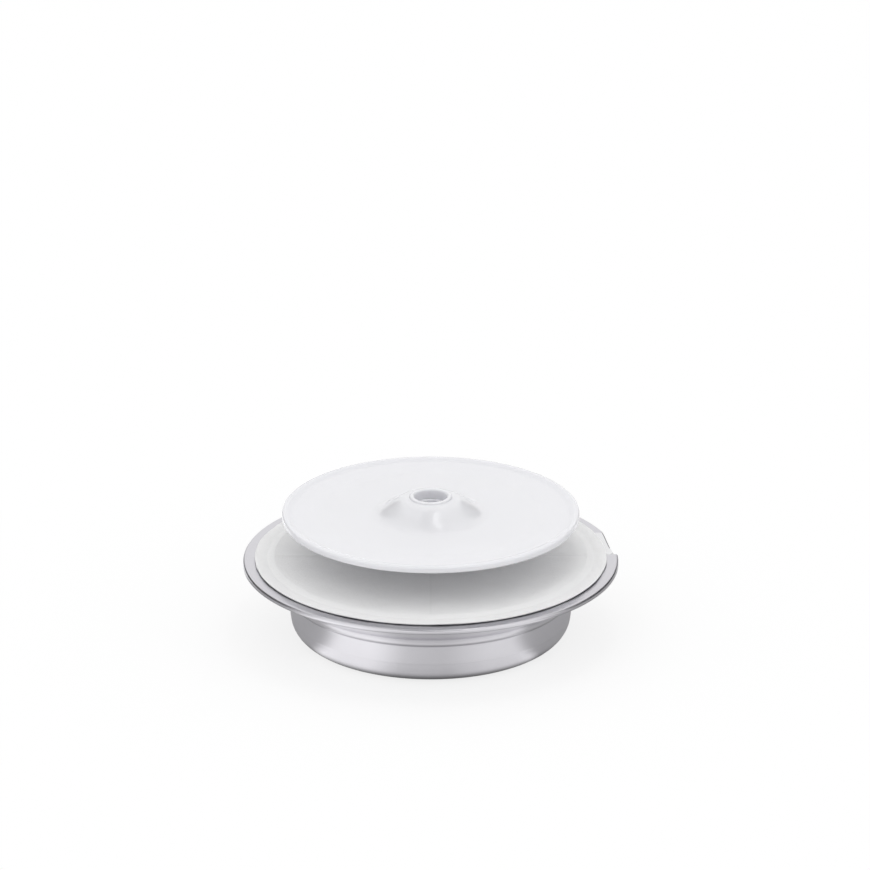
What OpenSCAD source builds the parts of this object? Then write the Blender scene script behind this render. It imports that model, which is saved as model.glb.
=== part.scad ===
// Pet water fountain: a pressed steel bowl that holds the water, a small pump under a ribbed
// cover at its centre, a disc filter cartridge that lies in the bowl's mouth, and a spreader
// plate on a screw-in stem with a telescoping riser tube. Millimetres, +Z up, with the origin
// on the surface the bowl stands on, at the bowl's centre.

/* [Bowl] */
// Outer diameter of the flat rim
bowl_d = 280; // [270:1:310]
// Height of the rim above the surface the bowl stands on
bowl_h = 59.5; // [58:0.5:64]
// Thickness of the steel sheet
sheet = 0.8; // [0.6:0.1:1]
// Width of the flat rim
rim_w = 11.4; // [9:0.2:13]
// Height of the edge that is turned down at the outside of the rim
edge_h = 3.4; // [2.6:0.2:5]
// How far the sloping upper wall leans in
upper_lean = 14.9; // [13:0.1:16]
// Height of the sloping upper wall
upper_h = 16.3; // [15:0.1:18]
// How far the ledge under the upper wall steps in
ledge_w = 8.2; // [7:0.1:9]
// Height of the ledge
ledge_h = 5.2; // [4.5:0.1:6]
// How far the lower wall leans in down to the base
lower_lean = 3; // [1:0.1:4]
// Radius of the rounded corner between the lower wall and the floor
corner_r = 16; // [12:0.5:18]
// Diameter of the raised platform in the floor's centre
platform_d = 93; // [88:1:100]
// Height of the platform above the floor
platform_h = 11.6; // [10:0.1:12]
// Diameter of the recess in the platform, where the pump stands
recess_d = 71; // [66:1:76]
// Depth of the recess
recess_depth = 3.2; // [2.4:0.1:4]

/* [Cord notch] */
// Direction of the notch, from +X towards +Y, in degrees
notch_a = 13.5; // [0:0.5:30]
// Width of the notch at the rim
notch_w = 42; // [36:1:48]
// Depth of the round trough pressed down through the rim
notch_depth = 7; // [5:0.1:8]

/* [Pump cover] */
// Outer diameter at the top
cover_d = 49.8; // [49:0.1:51]
// How much narrower the cover is at its foot
cover_taper = 2.2; // [1:0.1:2.4]
// Thickness of the ribbed wall
cover_wall = 2.8; // [2.4:0.1:3]
// Number of flutes around the wall
flutes = 30; // [24:1:36]
// Depth of each flute
flute_depth = 0.7; // [0.4:0.1:0.9]
// Width of each U-shaped notch in the top and foot
arch_w = 16.5; // [14:0.5:18]
// Height of the notches in the top
top_arch_h = 10.5; // [9:0.5:12]
// Height of the notches in the foot
foot_arch_h = 12; // [11.5:0.5:13]
// How far the socket's mouth lies under the cover's top
socket_drop = 5; // [4:0.1:6]
// Gap between the pump's shell and the deck that carries the socket
deck_gap = 3.6; // [3:0.1:5]
// Thickness of the deck
deck_t = 1.6; // [1.2:0.1:2]
// Thickness of the socket's wall
socket_wall = 2.5; // [2:0.1:2.6]

/* [Spreader plate and stem] */
// Outer diameter of the plate
plate_d = 221.6; // [200:0.2:240]
// Height of the plate's lip
lip_h = 5; // [4:0.1:5.5]
// Thickness of the plate
plate_t = 2.6; // [2.2:0.1:3]
// How far the plate's top dips below its lip
dish = 1.8; // [1:0.1:2.4]
// Height of the bell-shaped mound above the plate's top
mound_h = 13; // [10:0.1:14]
// Diameter of the mound at its foot
mound_d = 89; // [80:1:100]
// Outer diameter of the nozzle ring
nozzle_d = 32; // [31:0.2:34]
// Diameter of the nozzle's bore
nozzle_bore = 24.5; // [23:0.1:25.5]
// Height of the nozzle ring above the mound
nozzle_rise = 1.4; // [1:0.1:3]
// Length of the stem's wide collar, from the socket up to the plate's hub
collar_len = 37; // [34:0.5:44]
// Wall of the stem between its bore and the root of its thread
stem_wall = 0.59; // [0.55:0.01:0.65]
// Depth of the thread
thread_depth = 0.9; // [0.5:0.05:1]
// Pitch of the thread
pitch = 5; // [4:0.1:5.2]

/* [Riser tube] */
// Outer diameter of the riser tube
tube_d = 20; // [19.4:0.1:20.2]
// Wall of the riser tube
tube_wall = 2; // [1.8:0.1:2.2]
// Length of the riser tube
tube_len = 54; // [48:0.5:56]
// Thickness of the seal ring near the tube's top
seal_t = 1.2; // [1:0.1:1.4]

/* [Filter] */
// How far the filter's flange overlaps the bowl's rim
flange_over = 3; // [2:0.1:5]
// Thickness of the welded flange
flange_t = 1.6; // [1.4:0.1:2]
// Gap between the bowl's wall and the filter's side, at the top
side_gap = 7; // [6.6:0.1:9]
// Thickness of the non-woven sheet
cloth_t = 1.1; // [0.9:0.1:1.2]
// Rise of the filter's top above the flange
crown = 1.2; // [0.8:0.1:2]
// Gap between the filter's bottom and the foot of the bowl's ledge
bottom_gap = 2; // [1.6:0.1:3]
// Gap around the cover in the filter's pocket
pocket_gap = 2.1; // [1.5:0.1:3]
// Depth of the dimple around the stem
dimple_h = 3.2; // [2:0.1:3.6]
// Thickness of the resin layer
resin_t = 5; // [3:0.5:6]
// Thickness of the carbon layer
carbon_t = 6; // [4:0.5:7]

/* [Pump] */
// Outer diameter of the pump
pump_d = 39.6; // [39:0.1:40]
// Height of the pump's shell, without its spigot
shell_h = 23.4; // [23:0.1:24]
// Wall of the pump's shell
shell_wall = 1.4; // [1.2:0.1:1.6]
// Height of the outlet spigot
spigot_h = 4.6; // [3.5:0.1:4.8]
// Diameter of the outlet's bore
outlet_bore = 12; // [10:0.1:13]
// Outer diameter of the sealed motor can
can_d = 29; // [28:0.1:30]
// Height of the motor can
can_h = 12.5; // [12:0.1:12.6]
// Wall of the motor can
can_wall = 1.1; // [1:0.1:1.3]
// Diameter of the rotor's well in the can
well_d = 10.4; // [10:0.1:11]
// Diameter of the rotor magnet
magnet_d = 9.4; // [9:0.1:9.6]
// Diameter of the shaft
shaft_d = 2; // [1.8:0.1:2.2]
// Outer diameter of the impeller
impeller_d = 26; // [22:0.5:28]
// Number of impeller blades
blades = 6; // [4:1:8]
// Number of stator poles
poles = 6; // [4:1:6]
// Thickness of the inlet cover
inlet_t = 1.4; // [1.2:0.1:1.6]
// Diameter of the cord gland
gland_d = 5.6; // [5:0.1:5.8]
// Number of suction feet
feet = 3; // [3:1:4]

/* [Clearances] */
// Gap between pieces that lie on each other and lift apart
rest_gap = 0.3; // [0.25:0.05:0.4]
// Radial clearance of a sliding or turning fit
fit_gap = 0.06; // [0.04:0.01:0.08]
// Radial clearance of the stem's thread in its socket
thread_gap = 0.3; // [0.2:0.05:0.4]

/* [Hidden] */
$fn = 96;
big = 180;          // facets of the large turned shapes where OpenSCAD draws them
eps = 0.01;
steps = 6;          // chords in each rounded corner

// Bowl, from the outside in
bowl_r = bowl_d / 2;
mouth_r = bowl_r - rim_w;
upper_r = mouth_r - upper_lean;
ledge_top = bowl_h - upper_h;
ledge_r = upper_r - ledge_w;
ledge_low = ledge_top - ledge_h;
base_r = ledge_r - lower_lean;
floor_z = sheet;
platform_z = floor_z + platform_h;
recess_z = platform_z - recess_depth;
recess_r = recess_d / 2;
platform_r = platform_d / 2;
draw = 3.5;         // how far a pressed step in the floor leans
rim_round = 1.6;    // rounding of the rim's outer edge
notch_r = (pow(notch_w / 2, 2) + pow(notch_depth, 2)) / (2 * notch_depth);
floor_r = base_r - corner_r - 2.5;  // where the floor's node meets the wall's

// Pump, standing on its feet in the recess
foot_h = 1;
inlet_z = recess_z + rest_gap + foot_h;
shell_z = inlet_z + inlet_t;
shell_top = shell_z + shell_h - inlet_t;

// Pump cover, standing in the recess with its top level with the rim
cover_z = recess_z + rest_gap;
cover_top = bowl_h;
cover_h = cover_top - cover_z;
cover_r = cover_d / 2;
cover_foot_r = cover_r - cover_taper / 2;
socket_top = cover_top - socket_drop;
socket_low = shell_top + deck_gap;
seal_proud = 0.1;   // how far the seal ring stands out of the tube
bore_r = tube_d / 2 + seal_proud + fit_gap;
thread_r = bore_r + stem_wall + thread_depth;
socket_r = thread_r + thread_gap;
socket_out = socket_r + socket_wall;
arch_count = 3;
arch_a = notch_a + 2.5;     // the first arch faces the cord notch
flute_r = 1.6;
drain_r = 2;
seat_w = 1.1;               // width and height of the rib under the deck
function cover_in(z) = cover_foot_r - cover_wall + cover_taper / 2 * (z - cover_z) / cover_h;

// Stem, standing on the socket's mouth
shoulder_z = socket_top + rest_gap;
thread_low = socket_low + deck_t + rest_gap;
thread_len = shoulder_z - thread_low;
hub_z = shoulder_z + collar_len;
collar_r = socket_out;
spigot_r = nozzle_bore / 2 + 0.6;
hub_depth = 11;     // how far the stem's spigot reaches into the plate

// Plate
plate_r = plate_d / 2;
hub_r = collar_r + 2.6;
hub_proud = 1;      // how far the hub stands out under the lip
lip_low = hub_z + hub_proud;
rim_z = lip_low + lip_h;
face_z = rim_z - dish;
mound_z = face_z + mound_h;
nozzle_z = mound_z + nozzle_rise;
nozzle_r = nozzle_d / 2;
nozzle_round = 0.8 * nozzle_rise;
mound_r = mound_d / 2;

// Filter, lying on the rim
flange_z = bowl_h + rest_gap;
flange_r = mouth_r + flange_over;
flange_top = flange_z + flange_t;
filter_low = ledge_low + bottom_gap;
side_r = mouth_r - side_gap;
bottom_r = ledge_r + 4.5;
pocket_r = cover_r + pocket_gap;
roof_z = cover_top + rest_gap;
crown_z = max(flange_top + crown, roof_z + cloth_t + 0.6);
stem_hole_r = collar_r + 0.45;
dimple_low = crown_z - dimple_h;
inner_low = filter_low + cloth_t;
carbon_z = inner_low + resin_t;
cotton_z = carbon_z + carbon_t;
cotton_top = crown_z - cloth_t;

// Inside of the pump
pump_r = pump_d / 2;
shell_in = pump_r - shell_wall;
can_r = can_d / 2;
roof_t = 2;
can_top = shell_top - roof_t - 3.4;
can_z = can_top - can_h;
well_r = well_d / 2;
well_out = well_r + can_wall;
spigot_out = tube_d / 2 - tube_wall - fit_gap;
spokes = 3;
foot_a = 30;        // direction of the first suction foot
gland_z = cover_z + foot_arch_h - gland_d / 2 - 0.8;
gland_bore = gland_d / 2 - 1.4;
gland_out = 4.4;    // how far the gland stands out of the pump's side
shaft_low = shell_z - 0.3;
shaft_top = can_top - can_wall - 0.4;
magnet_z = can_z + 0.9;
magnet_h = can_h - can_wall - 3.2;
impeller_z = shell_z + 1.3;
impeller_top = can_z - 0.7;
bush_r = 2.6;
bush_h = 1.8;
core_low = can_z + can_wall + 1.6;
core_h = 4.6;
board_z = core_low + core_h + 1.2;
board_t = 1;
tube_z = shell_top + rest_gap;

// ---- outlines -------------------------------------------------------------------------
function unit(v) = v / norm(v);
function bearing(v) = atan2(v[1], v[0]);
function near_turn(a) = a > 180 ? a - 360 : a < -180 ? a + 360 : a;

// The arc that rounds corner b between a and c with radius r
function arc_at(a, b, c, r) =
    let (u = unit(a - b), w = unit(c - b), half = acos(u * w) / 2,
         mid = b + unit(u + w) * r / sin(half),
         from = bearing(b + u * r / tan(half) - mid),
         turn = near_turn(bearing(b + w * r / tan(half) - mid) - from))
    [for (i = [0 : steps]) mid + r * [cos(from + turn * i / steps), sin(from + turn * i / steps)]];

// An open outline through [r, z, rounding] corners, with each inner corner rounded
function rounded(p) =
    [for (i = [0 : len(p) - 1])
        let (here = [p[i][0], p[i][1]])
        each (i == 0 || i == len(p) - 1 || p[i][2] == 0 ? [here] :
              arc_at([p[i - 1][0], p[i - 1][1]], here, [p[i + 1][0], p[i + 1][1]], p[i][2]))];

function right_of(v) = [v[1], -v[0]] / norm(v);

// The same outline moved by t to its right, with mitred corners
function beside(p, t) =
    [for (i = [0 : len(p) - 1])
        let (before = i == 0 ? undef : right_of(p[i] - p[i - 1]),
             after = i == len(p) - 1 ? undef : right_of(p[i + 1] - p[i]),
             n = i == 0 ? after : i == len(p) - 1 ? before : unit(before + after),
             stretch = i == 0 || i == len(p) - 1 ? 1 : n * after)
        p[i] + n * t / stretch];

function backwards(p) = [for (i = [len(p) - 1 : -1 : 0]) p[i]];

module turned(points) { rotate_extrude($fn = big) polygon(points); }

module ring(out, in, h) {
    difference() {
        cylinder(r = out, h = h);
        translate([0, 0, -1]) cylinder(r = in, h = h + 2);
    }
}

module around(n, from = 0) { for (i = [0 : n - 1]) rotate(from + 360 * i / n) children(); }

// ---- bowl -----------------------------------------------------------------------------
// The water side of the bowl, from its centre out to the turned-down edge. The bowl is one
// pressing, drawn as three nodes that meet in the flat of the floor and in the ledge.
ledge_mid = [(ledge_r + upper_r) / 2, (ledge_low + ledge_top) / 2, 0];
floor_side = rounded([
    [0, recess_z, 0], [recess_r, recess_z, 1.6], [recess_r + recess_depth, platform_z, 1.6],
    [platform_r, platform_z, 2.4], [platform_r + draw, floor_z, 3], [floor_r, floor_z, 0]]);
wall_side = rounded([
    [floor_r, floor_z, 0], [base_r, floor_z, corner_r], [ledge_r, ledge_low, 2], ledge_mid]);
rim_side = rounded([
    ledge_mid, [upper_r, ledge_top, 4], [mouth_r, bowl_h, 1.2],
    [bowl_r, bowl_h, rim_round], [bowl_r, bowl_h - edge_h, 0]]);

module pressed(side) { turned(concat(side, backwards(beside(side, sheet)))); }

// The trough's core, larger by t
module notch_core(t) {
    rotate(notch_a) translate([base_r, 0, bowl_h - notch_depth + notch_r]) rotate([0, 90, 0])
        cylinder(r = notch_r + t, h = bowl_r, $fn = big);
}

// Everything under the water side of the upper wall and the rim, out to the rim's edge
module rim_block() { turned(concat(rim_side, [[bowl_r, ledge_mid[1]]])); }

// The flat floor with its platform and recess
module bowl_floor() { color([0.78, 0.78, 0.81]) pressed(floor_side); }

// The rounded corner, the lower wall and half the ledge
module bowl_wall() { color([0.78, 0.78, 0.81]) pressed(wall_side); }

// The rest of the ledge, the sloping upper wall and the flat rim with its notch
module bowl_rim() {
    color([0.78, 0.78, 0.81]) {
        difference() {
            pressed(rim_side);
            notch_core(0);
        }
        difference() {
            intersection() {
                rim_block();
                notch_core(sheet);
            }
            notch_core(0);
        }
    }
}

// ---- pump cover -----------------------------------------------------------------------
// A round-ended slot through the wall; its straight sides run out past the edge
module arch(h) {
    translate([0, 0, h - arch_w / 2]) rotate([0, 90, 0]) cylinder(d = arch_w, h = cover_r + 2);
    translate([0, -arch_w / 2, -5]) cube([cover_r + 2, arch_w, h - arch_w / 2 + 5]);
}

module flute() {
    lean = atan(cover_taper / 2 / cover_h);
    translate([cover_foot_r + flute_r - flute_depth, 0, -1]) rotate([0, lean, 0])
        cylinder(r = flute_r, h = cover_h + 3, $fn = 24);
}

module pump_cover() {
    color([0.88, 0.88, 0.91]) translate([0, 0, cover_z]) {
        difference() {
            cylinder(r1 = cover_foot_r, r2 = cover_r, h = cover_h);
            translate([0, 0, -eps]) cylinder(r1 = cover_foot_r - cover_wall,
                r2 = cover_r - cover_wall, h = cover_h + 2 * eps);
            around(flutes, arch_a) flute();
            around(arch_count, arch_a) arch(foot_arch_h);
            around(arch_count, arch_a) translate([0, 0, cover_h]) mirror([0, 0, 1]) arch(top_arch_h);
        }
        translate([0, 0, socket_low - seat_w - cover_z])
            ring(cover_in(socket_low) + 0.5, cover_in(socket_low) - seat_w, seat_w);
    }
}

// The stem's socket on its drain deck, dropped into the cover onto the rib
module cover_socket() {
    edge_r = cover_in(socket_low) - fit_gap;
    drains = arch_count * 2;
    color([0.88, 0.88, 0.91]) translate([0, 0, socket_low]) {
        ring(socket_out, socket_r, socket_top - socket_low);
        difference() {
            cylinder(r = edge_r, h = deck_t);
            translate([0, 0, -1]) cylinder(r = tube_d / 2 + 0.4, h = deck_t + 2);
            around(drains, arch_a + 180 / drains) translate([(socket_out + edge_r) / 2, 0, -1])
                cylinder(r = drain_r, h = deck_t + 2);
        }
    }
}

// ---- spreader plate, stem and riser tube ----------------------------------------------
bell_steps = 14;
function bell(r) = mound_h * (1 + cos(180 * (r - nozzle_r) / (mound_r - nozzle_r))) / 2;

// Top of the plate from the nozzle's bore out to the lip, as [r, z]
plate_top = concat(
    [[nozzle_bore / 2, nozzle_z - 0.8], [nozzle_bore / 2 + 0.8, nozzle_z],
     [nozzle_r - nozzle_round, nozzle_z], [nozzle_r, nozzle_z - nozzle_round]],
    [for (i = [0 : bell_steps])
        let (r = nozzle_r + (mound_r - nozzle_r) * i / bell_steps) [r, face_z + bell(r)]],
    [[plate_r - 6, face_z], [plate_r - 3, rim_z - 0.5], [plate_r - 1.8, rim_z],
     [plate_r - 0.9, rim_z - 0.2], [plate_r, rim_z - 1.3]]);

module spreader_plate() {
    color([0.95, 0.95, 0.97]) difference() {
        turned(concat(plate_top,
            [[plate_r, lip_low + 1.2], [plate_r - 0.9, lip_low + 0.2], [plate_r - 2, lip_low],
             [plate_r - 4, face_z - plate_t]],
            [for (i = [0 : bell_steps])
                let (r = mound_r + (hub_r - mound_r) * i / bell_steps)
                [r, face_z + bell(r) - plate_t]],
            [[hub_r, hub_z], [nozzle_bore / 2, hub_z]]));
        translate([0, 0, hub_z - 1]) cylinder(r = spigot_r, h = hub_depth + 1);
    }
}

module threaded_stem() {
    color([0.9, 0.9, 0.93]) difference() {
        union() {
            translate([0, 0, thread_low]) cylinder(r = thread_r - thread_depth, h = thread_len + 1);
            for (z = [thread_low + pitch / 2 : pitch : shoulder_z - pitch / 4])
                translate([0, 0, z]) turned([[thread_r - thread_depth - 0.3, -pitch / 4],
                    [thread_r, -pitch / 9], [thread_r, pitch / 9],
                    [thread_r - thread_depth - 0.3, pitch / 4]]);
            translate([0, 0, shoulder_z]) cylinder(r = collar_r, h = collar_len);
            translate([0, 0, hub_z - 1]) cylinder(r = spigot_r, h = hub_depth + 1);
        }
        translate([0, 0, thread_low - 1])
            cylinder(r = bore_r, h = thread_len + collar_len + hub_depth + 4);
    }
}

seal_z = tube_z + tube_len - 4;

module riser_tube() {
    color([0.77, 0.77, 0.8, 0.8]) translate([0, 0, tube_z]) difference() {
        ring(tube_d / 2, tube_d / 2 - tube_wall, tube_len);
        translate([0, 0, seal_z - tube_z])
            ring(tube_d / 2 + 1, tube_d / 2 - seal_t + seal_proud, seal_t);
    }
}

module tube_seal() {
    color([0.3, 0.3, 0.32]) translate([0, 0, seal_z])
        ring(tube_d / 2 + seal_proud, tube_d / 2 - seal_t + seal_proud, seal_t);
}

// ---- filter cartridge -----------------------------------------------------------------
// Outer side of the cup, from the pocket's roof round the bottom and up to the flange
cup_side = rounded([
    [pocket_r, crown_z - cloth_t, 0], [pocket_r, filter_low, 2], [bottom_r, filter_low, 8],
    [side_r, flange_z, 2], [flange_r, flange_z, 0]]);
cup_inside = [for (p = beside(cup_side, -cloth_t)) if (p[1] < flange_z || p[0] < bottom_r) p];

module filter_cup() {
    color([0.88, 0.88, 0.9]) turned(concat(cup_side, [[flange_r, flange_z + flange_t / 2],
        [side_r - 1.3 * cloth_t, flange_z + flange_t / 2]], backwards(cup_inside)));
}

// Underside and top of the sheet, from the stem's hole out to the welded flange
sheet_low = rounded([[stem_hole_r, dimple_low, 0], [cover_r - cover_wall - 1.6, dimple_low + 0.8, 2],
    [pocket_r - 1, crown_z - cloth_t, 6], [side_r - 6, crown_z - cloth_t, 8],
    [side_r + 1, flange_z + flange_t / 2, 1], [flange_r, flange_z + flange_t / 2, 0]]);

module filter_top_sheet() {
    color([0.93, 0.93, 0.94]) turned(concat(sheet_low, [[flange_r, flange_top]],
        backwards([for (p = beside(sheet_low, -cloth_t)) if (p[0] < side_r + 1) p])));
}

// Everything between the cup and the top sheet
module filter_room() {
    turned(concat([for (p = cup_inside) if (p[1] < flange_z) p],
        [[side_r - 7, cotton_top - 0.2], [pocket_r + cloth_t, cotton_top - 0.2]]));
}

module filter_layer(low, high) {
    intersection() {
        filter_room();
        translate([0, 0, low]) cylinder(r = bowl_r, h = high - low);
    }
}

module resin_bed() { color([0.85, 0.7, 0.4]) filter_layer(inner_low, carbon_z); }
module carbon_bed() { color([0.15, 0.15, 0.16]) filter_layer(carbon_z, cotton_z); }
module cotton_pad() { color([0.96, 0.96, 0.95]) filter_layer(cotton_z, cotton_top); }

// ---- pump -----------------------------------------------------------------------------
module pump_shell() {
    color([0.2, 0.21, 0.23]) difference() {
        union() {
            translate([0, 0, shell_z]) cylinder(r = pump_r, h = shell_top - shell_z);
            translate([0, 0, shell_top - 1]) cylinder(r = spigot_out, h = spigot_h + 1);
        }
        translate([0, 0, shell_z - 1]) cylinder(r = shell_in, h = shell_top - roof_t - shell_z + 1);
        translate([0, 0, shell_top - 5]) cylinder(d = outlet_bore, h = spigot_h + 6);
        gland_hole(gland_d / 2);
    }
}

module gland_hole(r) {
    rotate(arch_a) translate([can_r - can_wall - 1, 0, gland_z]) rotate([0, 90, 0])
        cylinder(r = r, h = pump_r, $fn = 48);
}

module inlet_cover() {
    color([0.24, 0.25, 0.27]) difference() {
        union() {
            translate([0, 0, inlet_z]) cylinder(r = pump_r, h = inlet_t);
            translate([0, 0, shell_z]) ring(shell_in, shell_in - 1.6, 1.6);
            translate([0, 0, inlet_z]) cylinder(r = bush_r + 1.4, h = inlet_t + 0.9);
        }
        around(9) translate([bush_r + 3, -1, inlet_z - 1]) cube([7, 2, inlet_t + 4]);
        translate([0, 0, shell_z - 0.9]) cylinder(r = bush_r, h = 3);
        around(feet, foot_a) translate([pump_r - 5, 0, inlet_z - 1]) cylinder(r = 1.2, h = 1.8);
        translate([0, 0, shell_z + 0.3])
            ring(shell_in + 1, shell_in - 0.8, 1, $fn = 96);
    }
}

module shell_seal() {
    color([0.1, 0.1, 0.1]) translate([0, 0, shell_z + 0.3]) ring(shell_in, shell_in - 0.8, 1);
}

// The sealed can: an annular case around the rotor's well, held in the shell by spokes
module motor_can() {
    color([0.28, 0.29, 0.31]) difference() {
        union() {
            translate([0, 0, can_z]) cylinder(r = can_r, h = can_h);
            around(spokes, arch_a + 180 / spokes) translate([can_r - 0.6, -1, can_z + 1])
                cube([shell_in - can_r + 0.6, 2, can_h - 1]);
            intersection() {
                gland_hole(gland_bore + 1.1);
                translate([0, 0, shell_z]) cylinder(r = shell_in, h = can_h);
            }
        }
        translate([0, 0, can_z + can_wall]) difference() {
            cylinder(r = can_r - can_wall, h = can_h - 2 * can_wall);
            translate([0, 0, -1]) cylinder(r = well_out, h = can_h);
        }
        translate([0, 0, can_z - 1]) cylinder(r = well_r, h = can_h - can_wall + 1);
        gland_hole(gland_bore);
    }
}

module stator_core() {
    color([0.55, 0.55, 0.58]) translate([0, 0, core_low]) {
        ring(can_r - can_wall, can_r - can_wall - 1.8, core_h);
        around(poles) {
            translate([well_out + 0.8, -1.1, 0])
                cube([can_r - can_wall - 1 - well_out - 0.8, 2.2, core_h]);
            intersection() {
                ring(well_out + 1.2, well_out, core_h);
                translate([0, -2.2, 0]) cube([well_out + 3, 4.4, core_h]);
            }
        }
    }
}

module stator_coils() {
    color([0.72, 0.4, 0.2]) translate([0, 0, core_low]) around(poles)
        translate([well_out + 1.6, 0, 0]) difference() {
            translate([0, -1.9, -0.8])
                cube([can_r - can_wall - 1.8 - well_out - 2, 3.8, core_h + 1.6]);
            translate([-1, -1.1, 0]) cube([can_r, 2.2, core_h]);
        }
}

module driver_board() {
    color([0.1, 0.35, 0.2]) translate([0, 0, board_z])
        ring(can_r - can_wall - 0.4, well_out + 0.4, board_t);
}

// Resin cast over the board, up to the can's roof
module potting() {
    color([0.12, 0.12, 0.13]) translate([0, 0, board_z + board_t])
        ring(can_r - can_wall, well_out, can_top - can_wall - board_z - board_t);
}

module motor_shaft() {
    color([0.85, 0.86, 0.88]) translate([0, 0, shaft_low])
        cylinder(d = shaft_d, h = shaft_top - shaft_low, $fn = 48);
}

module upper_bush() {
    color([0.12, 0.12, 0.12]) translate([0, 0, can_top - can_wall - bush_h])
        difference() {
            cylinder(r = well_r, h = bush_h);
            translate([0, 0, -1]) cylinder(d = shaft_d, h = shaft_top - can_top + can_wall + bush_h + 1,
                $fn = 48);
        }
}

module lower_bush() {
    color([0.12, 0.12, 0.12]) translate([0, 0, shell_z - 0.9]) difference() {
        cylinder(r = bush_r, h = bush_h);
        translate([0, 0, shaft_low - shell_z + 0.9]) cylinder(d = shaft_d, h = bush_h, $fn = 48);
    }
}

module rotor_magnet() {
    color([0.35, 0.35, 0.37]) translate([0, 0, magnet_z])
        ring(magnet_d / 2, shaft_d / 2 + fit_gap, magnet_h);
}

module impeller() {
    disc_t = 1;
    color([0.85, 0.85, 0.87]) difference() {
        union() {
            translate([0, 0, impeller_top - disc_t]) cylinder(d = impeller_d, h = disc_t);
            translate([0, 0, impeller_z]) cylinder(r = 3, h = magnet_z - impeller_z);
            around(blades) translate([bush_r + 2, -0.5, shell_z + 0.5])
                cube([impeller_d / 2 - bush_r - 2.5, 1, impeller_top - shell_z - 0.5]);
        }
        translate([0, 0, impeller_z - 1])
            cylinder(d = shaft_d + 2 * fit_gap, h = magnet_z - impeller_z + 2, $fn = 48);
    }
}

module suction_feet() {
    color([0.75, 0.75, 0.78]) around(feet, foot_a) translate([pump_r - 5, 0, 0]) {
        translate([0, 0, recess_z + rest_gap]) cylinder(r1 = 3.4, r2 = 2.4, h = foot_h);
        translate([0, 0, inlet_z - eps]) cylinder(r = 1.2, h = 0.8);
    }
}

module cord_gland() {
    color([0.15, 0.15, 0.16]) rotate(arch_a) translate([shell_in, 0, gland_z]) rotate([0, 90, 0])
        difference() {
            union() {
                cylinder(d = gland_d, h = 4, $fn = 48);
                translate([0, 0, shell_wall])
                    cylinder(d1 = gland_d, d2 = gland_d - 1.4, h = gland_out, $fn = 48);
            }
            translate([0, 0, -1]) cylinder(r = gland_bore, h = shell_wall + gland_out + 2, $fn = 48);
        }
}

bowl_floor();
bowl_wall();
bowl_rim();
pump_cover();
cover_socket();
spreader_plate();
threaded_stem();
riser_tube();
tube_seal();
filter_top_sheet();
filter_cup();
cotton_pad();
carbon_bed();
resin_bed();
pump_shell();
inlet_cover();
shell_seal();
motor_can();
stator_core();
stator_coils();
driver_board();
potting();
motor_shaft();
upper_bush();
lower_bush();
rotor_magnet();
impeller();
suction_feet();
cord_gland();
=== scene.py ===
"""Looks of a pet water fountain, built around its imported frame.

A pressed steel bowl holds a pump under a ribbed cover, a soft disc filter lies in the bowl's mouth,
and a glossy spreader plate stands over it on a threaded stem with a frosted riser tube. Lengths in
the dataclasses are millimetres, and everything is made in metres in the frame's own coordinates.
"""

from __future__ import annotations

import logging
import math
from abc import ABC, abstractmethod
from collections.abc import Callable, Iterable, Sequence
from dataclasses import dataclass, field
from enum import Enum

import bmesh
import bpy
from mathutils import Matrix, Vector, noise

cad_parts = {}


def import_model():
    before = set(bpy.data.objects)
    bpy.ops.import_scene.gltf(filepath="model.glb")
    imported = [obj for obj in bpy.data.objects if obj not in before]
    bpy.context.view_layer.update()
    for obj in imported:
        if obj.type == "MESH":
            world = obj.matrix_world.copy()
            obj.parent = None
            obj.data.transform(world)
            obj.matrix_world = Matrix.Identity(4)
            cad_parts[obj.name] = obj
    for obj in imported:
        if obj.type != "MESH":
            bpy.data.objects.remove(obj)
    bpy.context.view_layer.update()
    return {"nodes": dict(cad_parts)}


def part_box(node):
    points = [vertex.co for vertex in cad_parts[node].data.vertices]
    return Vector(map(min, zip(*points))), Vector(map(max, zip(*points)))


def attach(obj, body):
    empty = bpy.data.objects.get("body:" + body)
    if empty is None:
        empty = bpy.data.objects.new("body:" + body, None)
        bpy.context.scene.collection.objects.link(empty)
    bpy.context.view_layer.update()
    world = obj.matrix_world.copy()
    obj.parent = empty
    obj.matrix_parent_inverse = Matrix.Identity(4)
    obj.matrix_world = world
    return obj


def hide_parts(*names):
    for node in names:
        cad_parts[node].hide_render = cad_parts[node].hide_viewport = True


LOG = logging.getLogger("fountain")
MM = 0.001
TURN = 2 * math.pi
Colour = tuple[float, float, float]
Point = tuple[float, float, float]
# Radius in millimetres, angle in radians and height in millimetres
Polar = tuple[float, float, float]
WHITE: Colour = (1.0, 1.0, 1.0)
# Sockets of a Mix node, which has a set of them for each data type
MIX_SHARE = 0
MIX_VECTORS = (4, 5)
MIX_COLOURS = (6, 7)
MIX_VECTOR_OUT = 1
MIX_COLOUR_OUT = 2
# Points that are closer than this are one, in metres
MERGE = 1e-6
# A point that is closer than this to a round wall's radius lies on it, in millimetres
ON_WALL = 0.1
# Radius of the ring that is welded into the filter, in millimetres
WELD_RING = 30.0


class Body(Enum):
    """The frame's bodies."""

    BOWL = "bowl"
    PUMP = "pump"
    COVER = "cover"
    FILTER = "filter"
    PLATE = "plate"
    TUBE = "tube"


class Slot(Enum):
    """The record's material slots."""

    STEEL = "steel"
    COVER = "cover_plastic"
    PLATE = "plate_plastic"
    STEM = "stem_plastic"
    TUBE = "tube_plastic"
    CLOTH = "nonwoven"
    PUMP = "pump_plastic"
    RUBBER = "seal_rubber"


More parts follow.
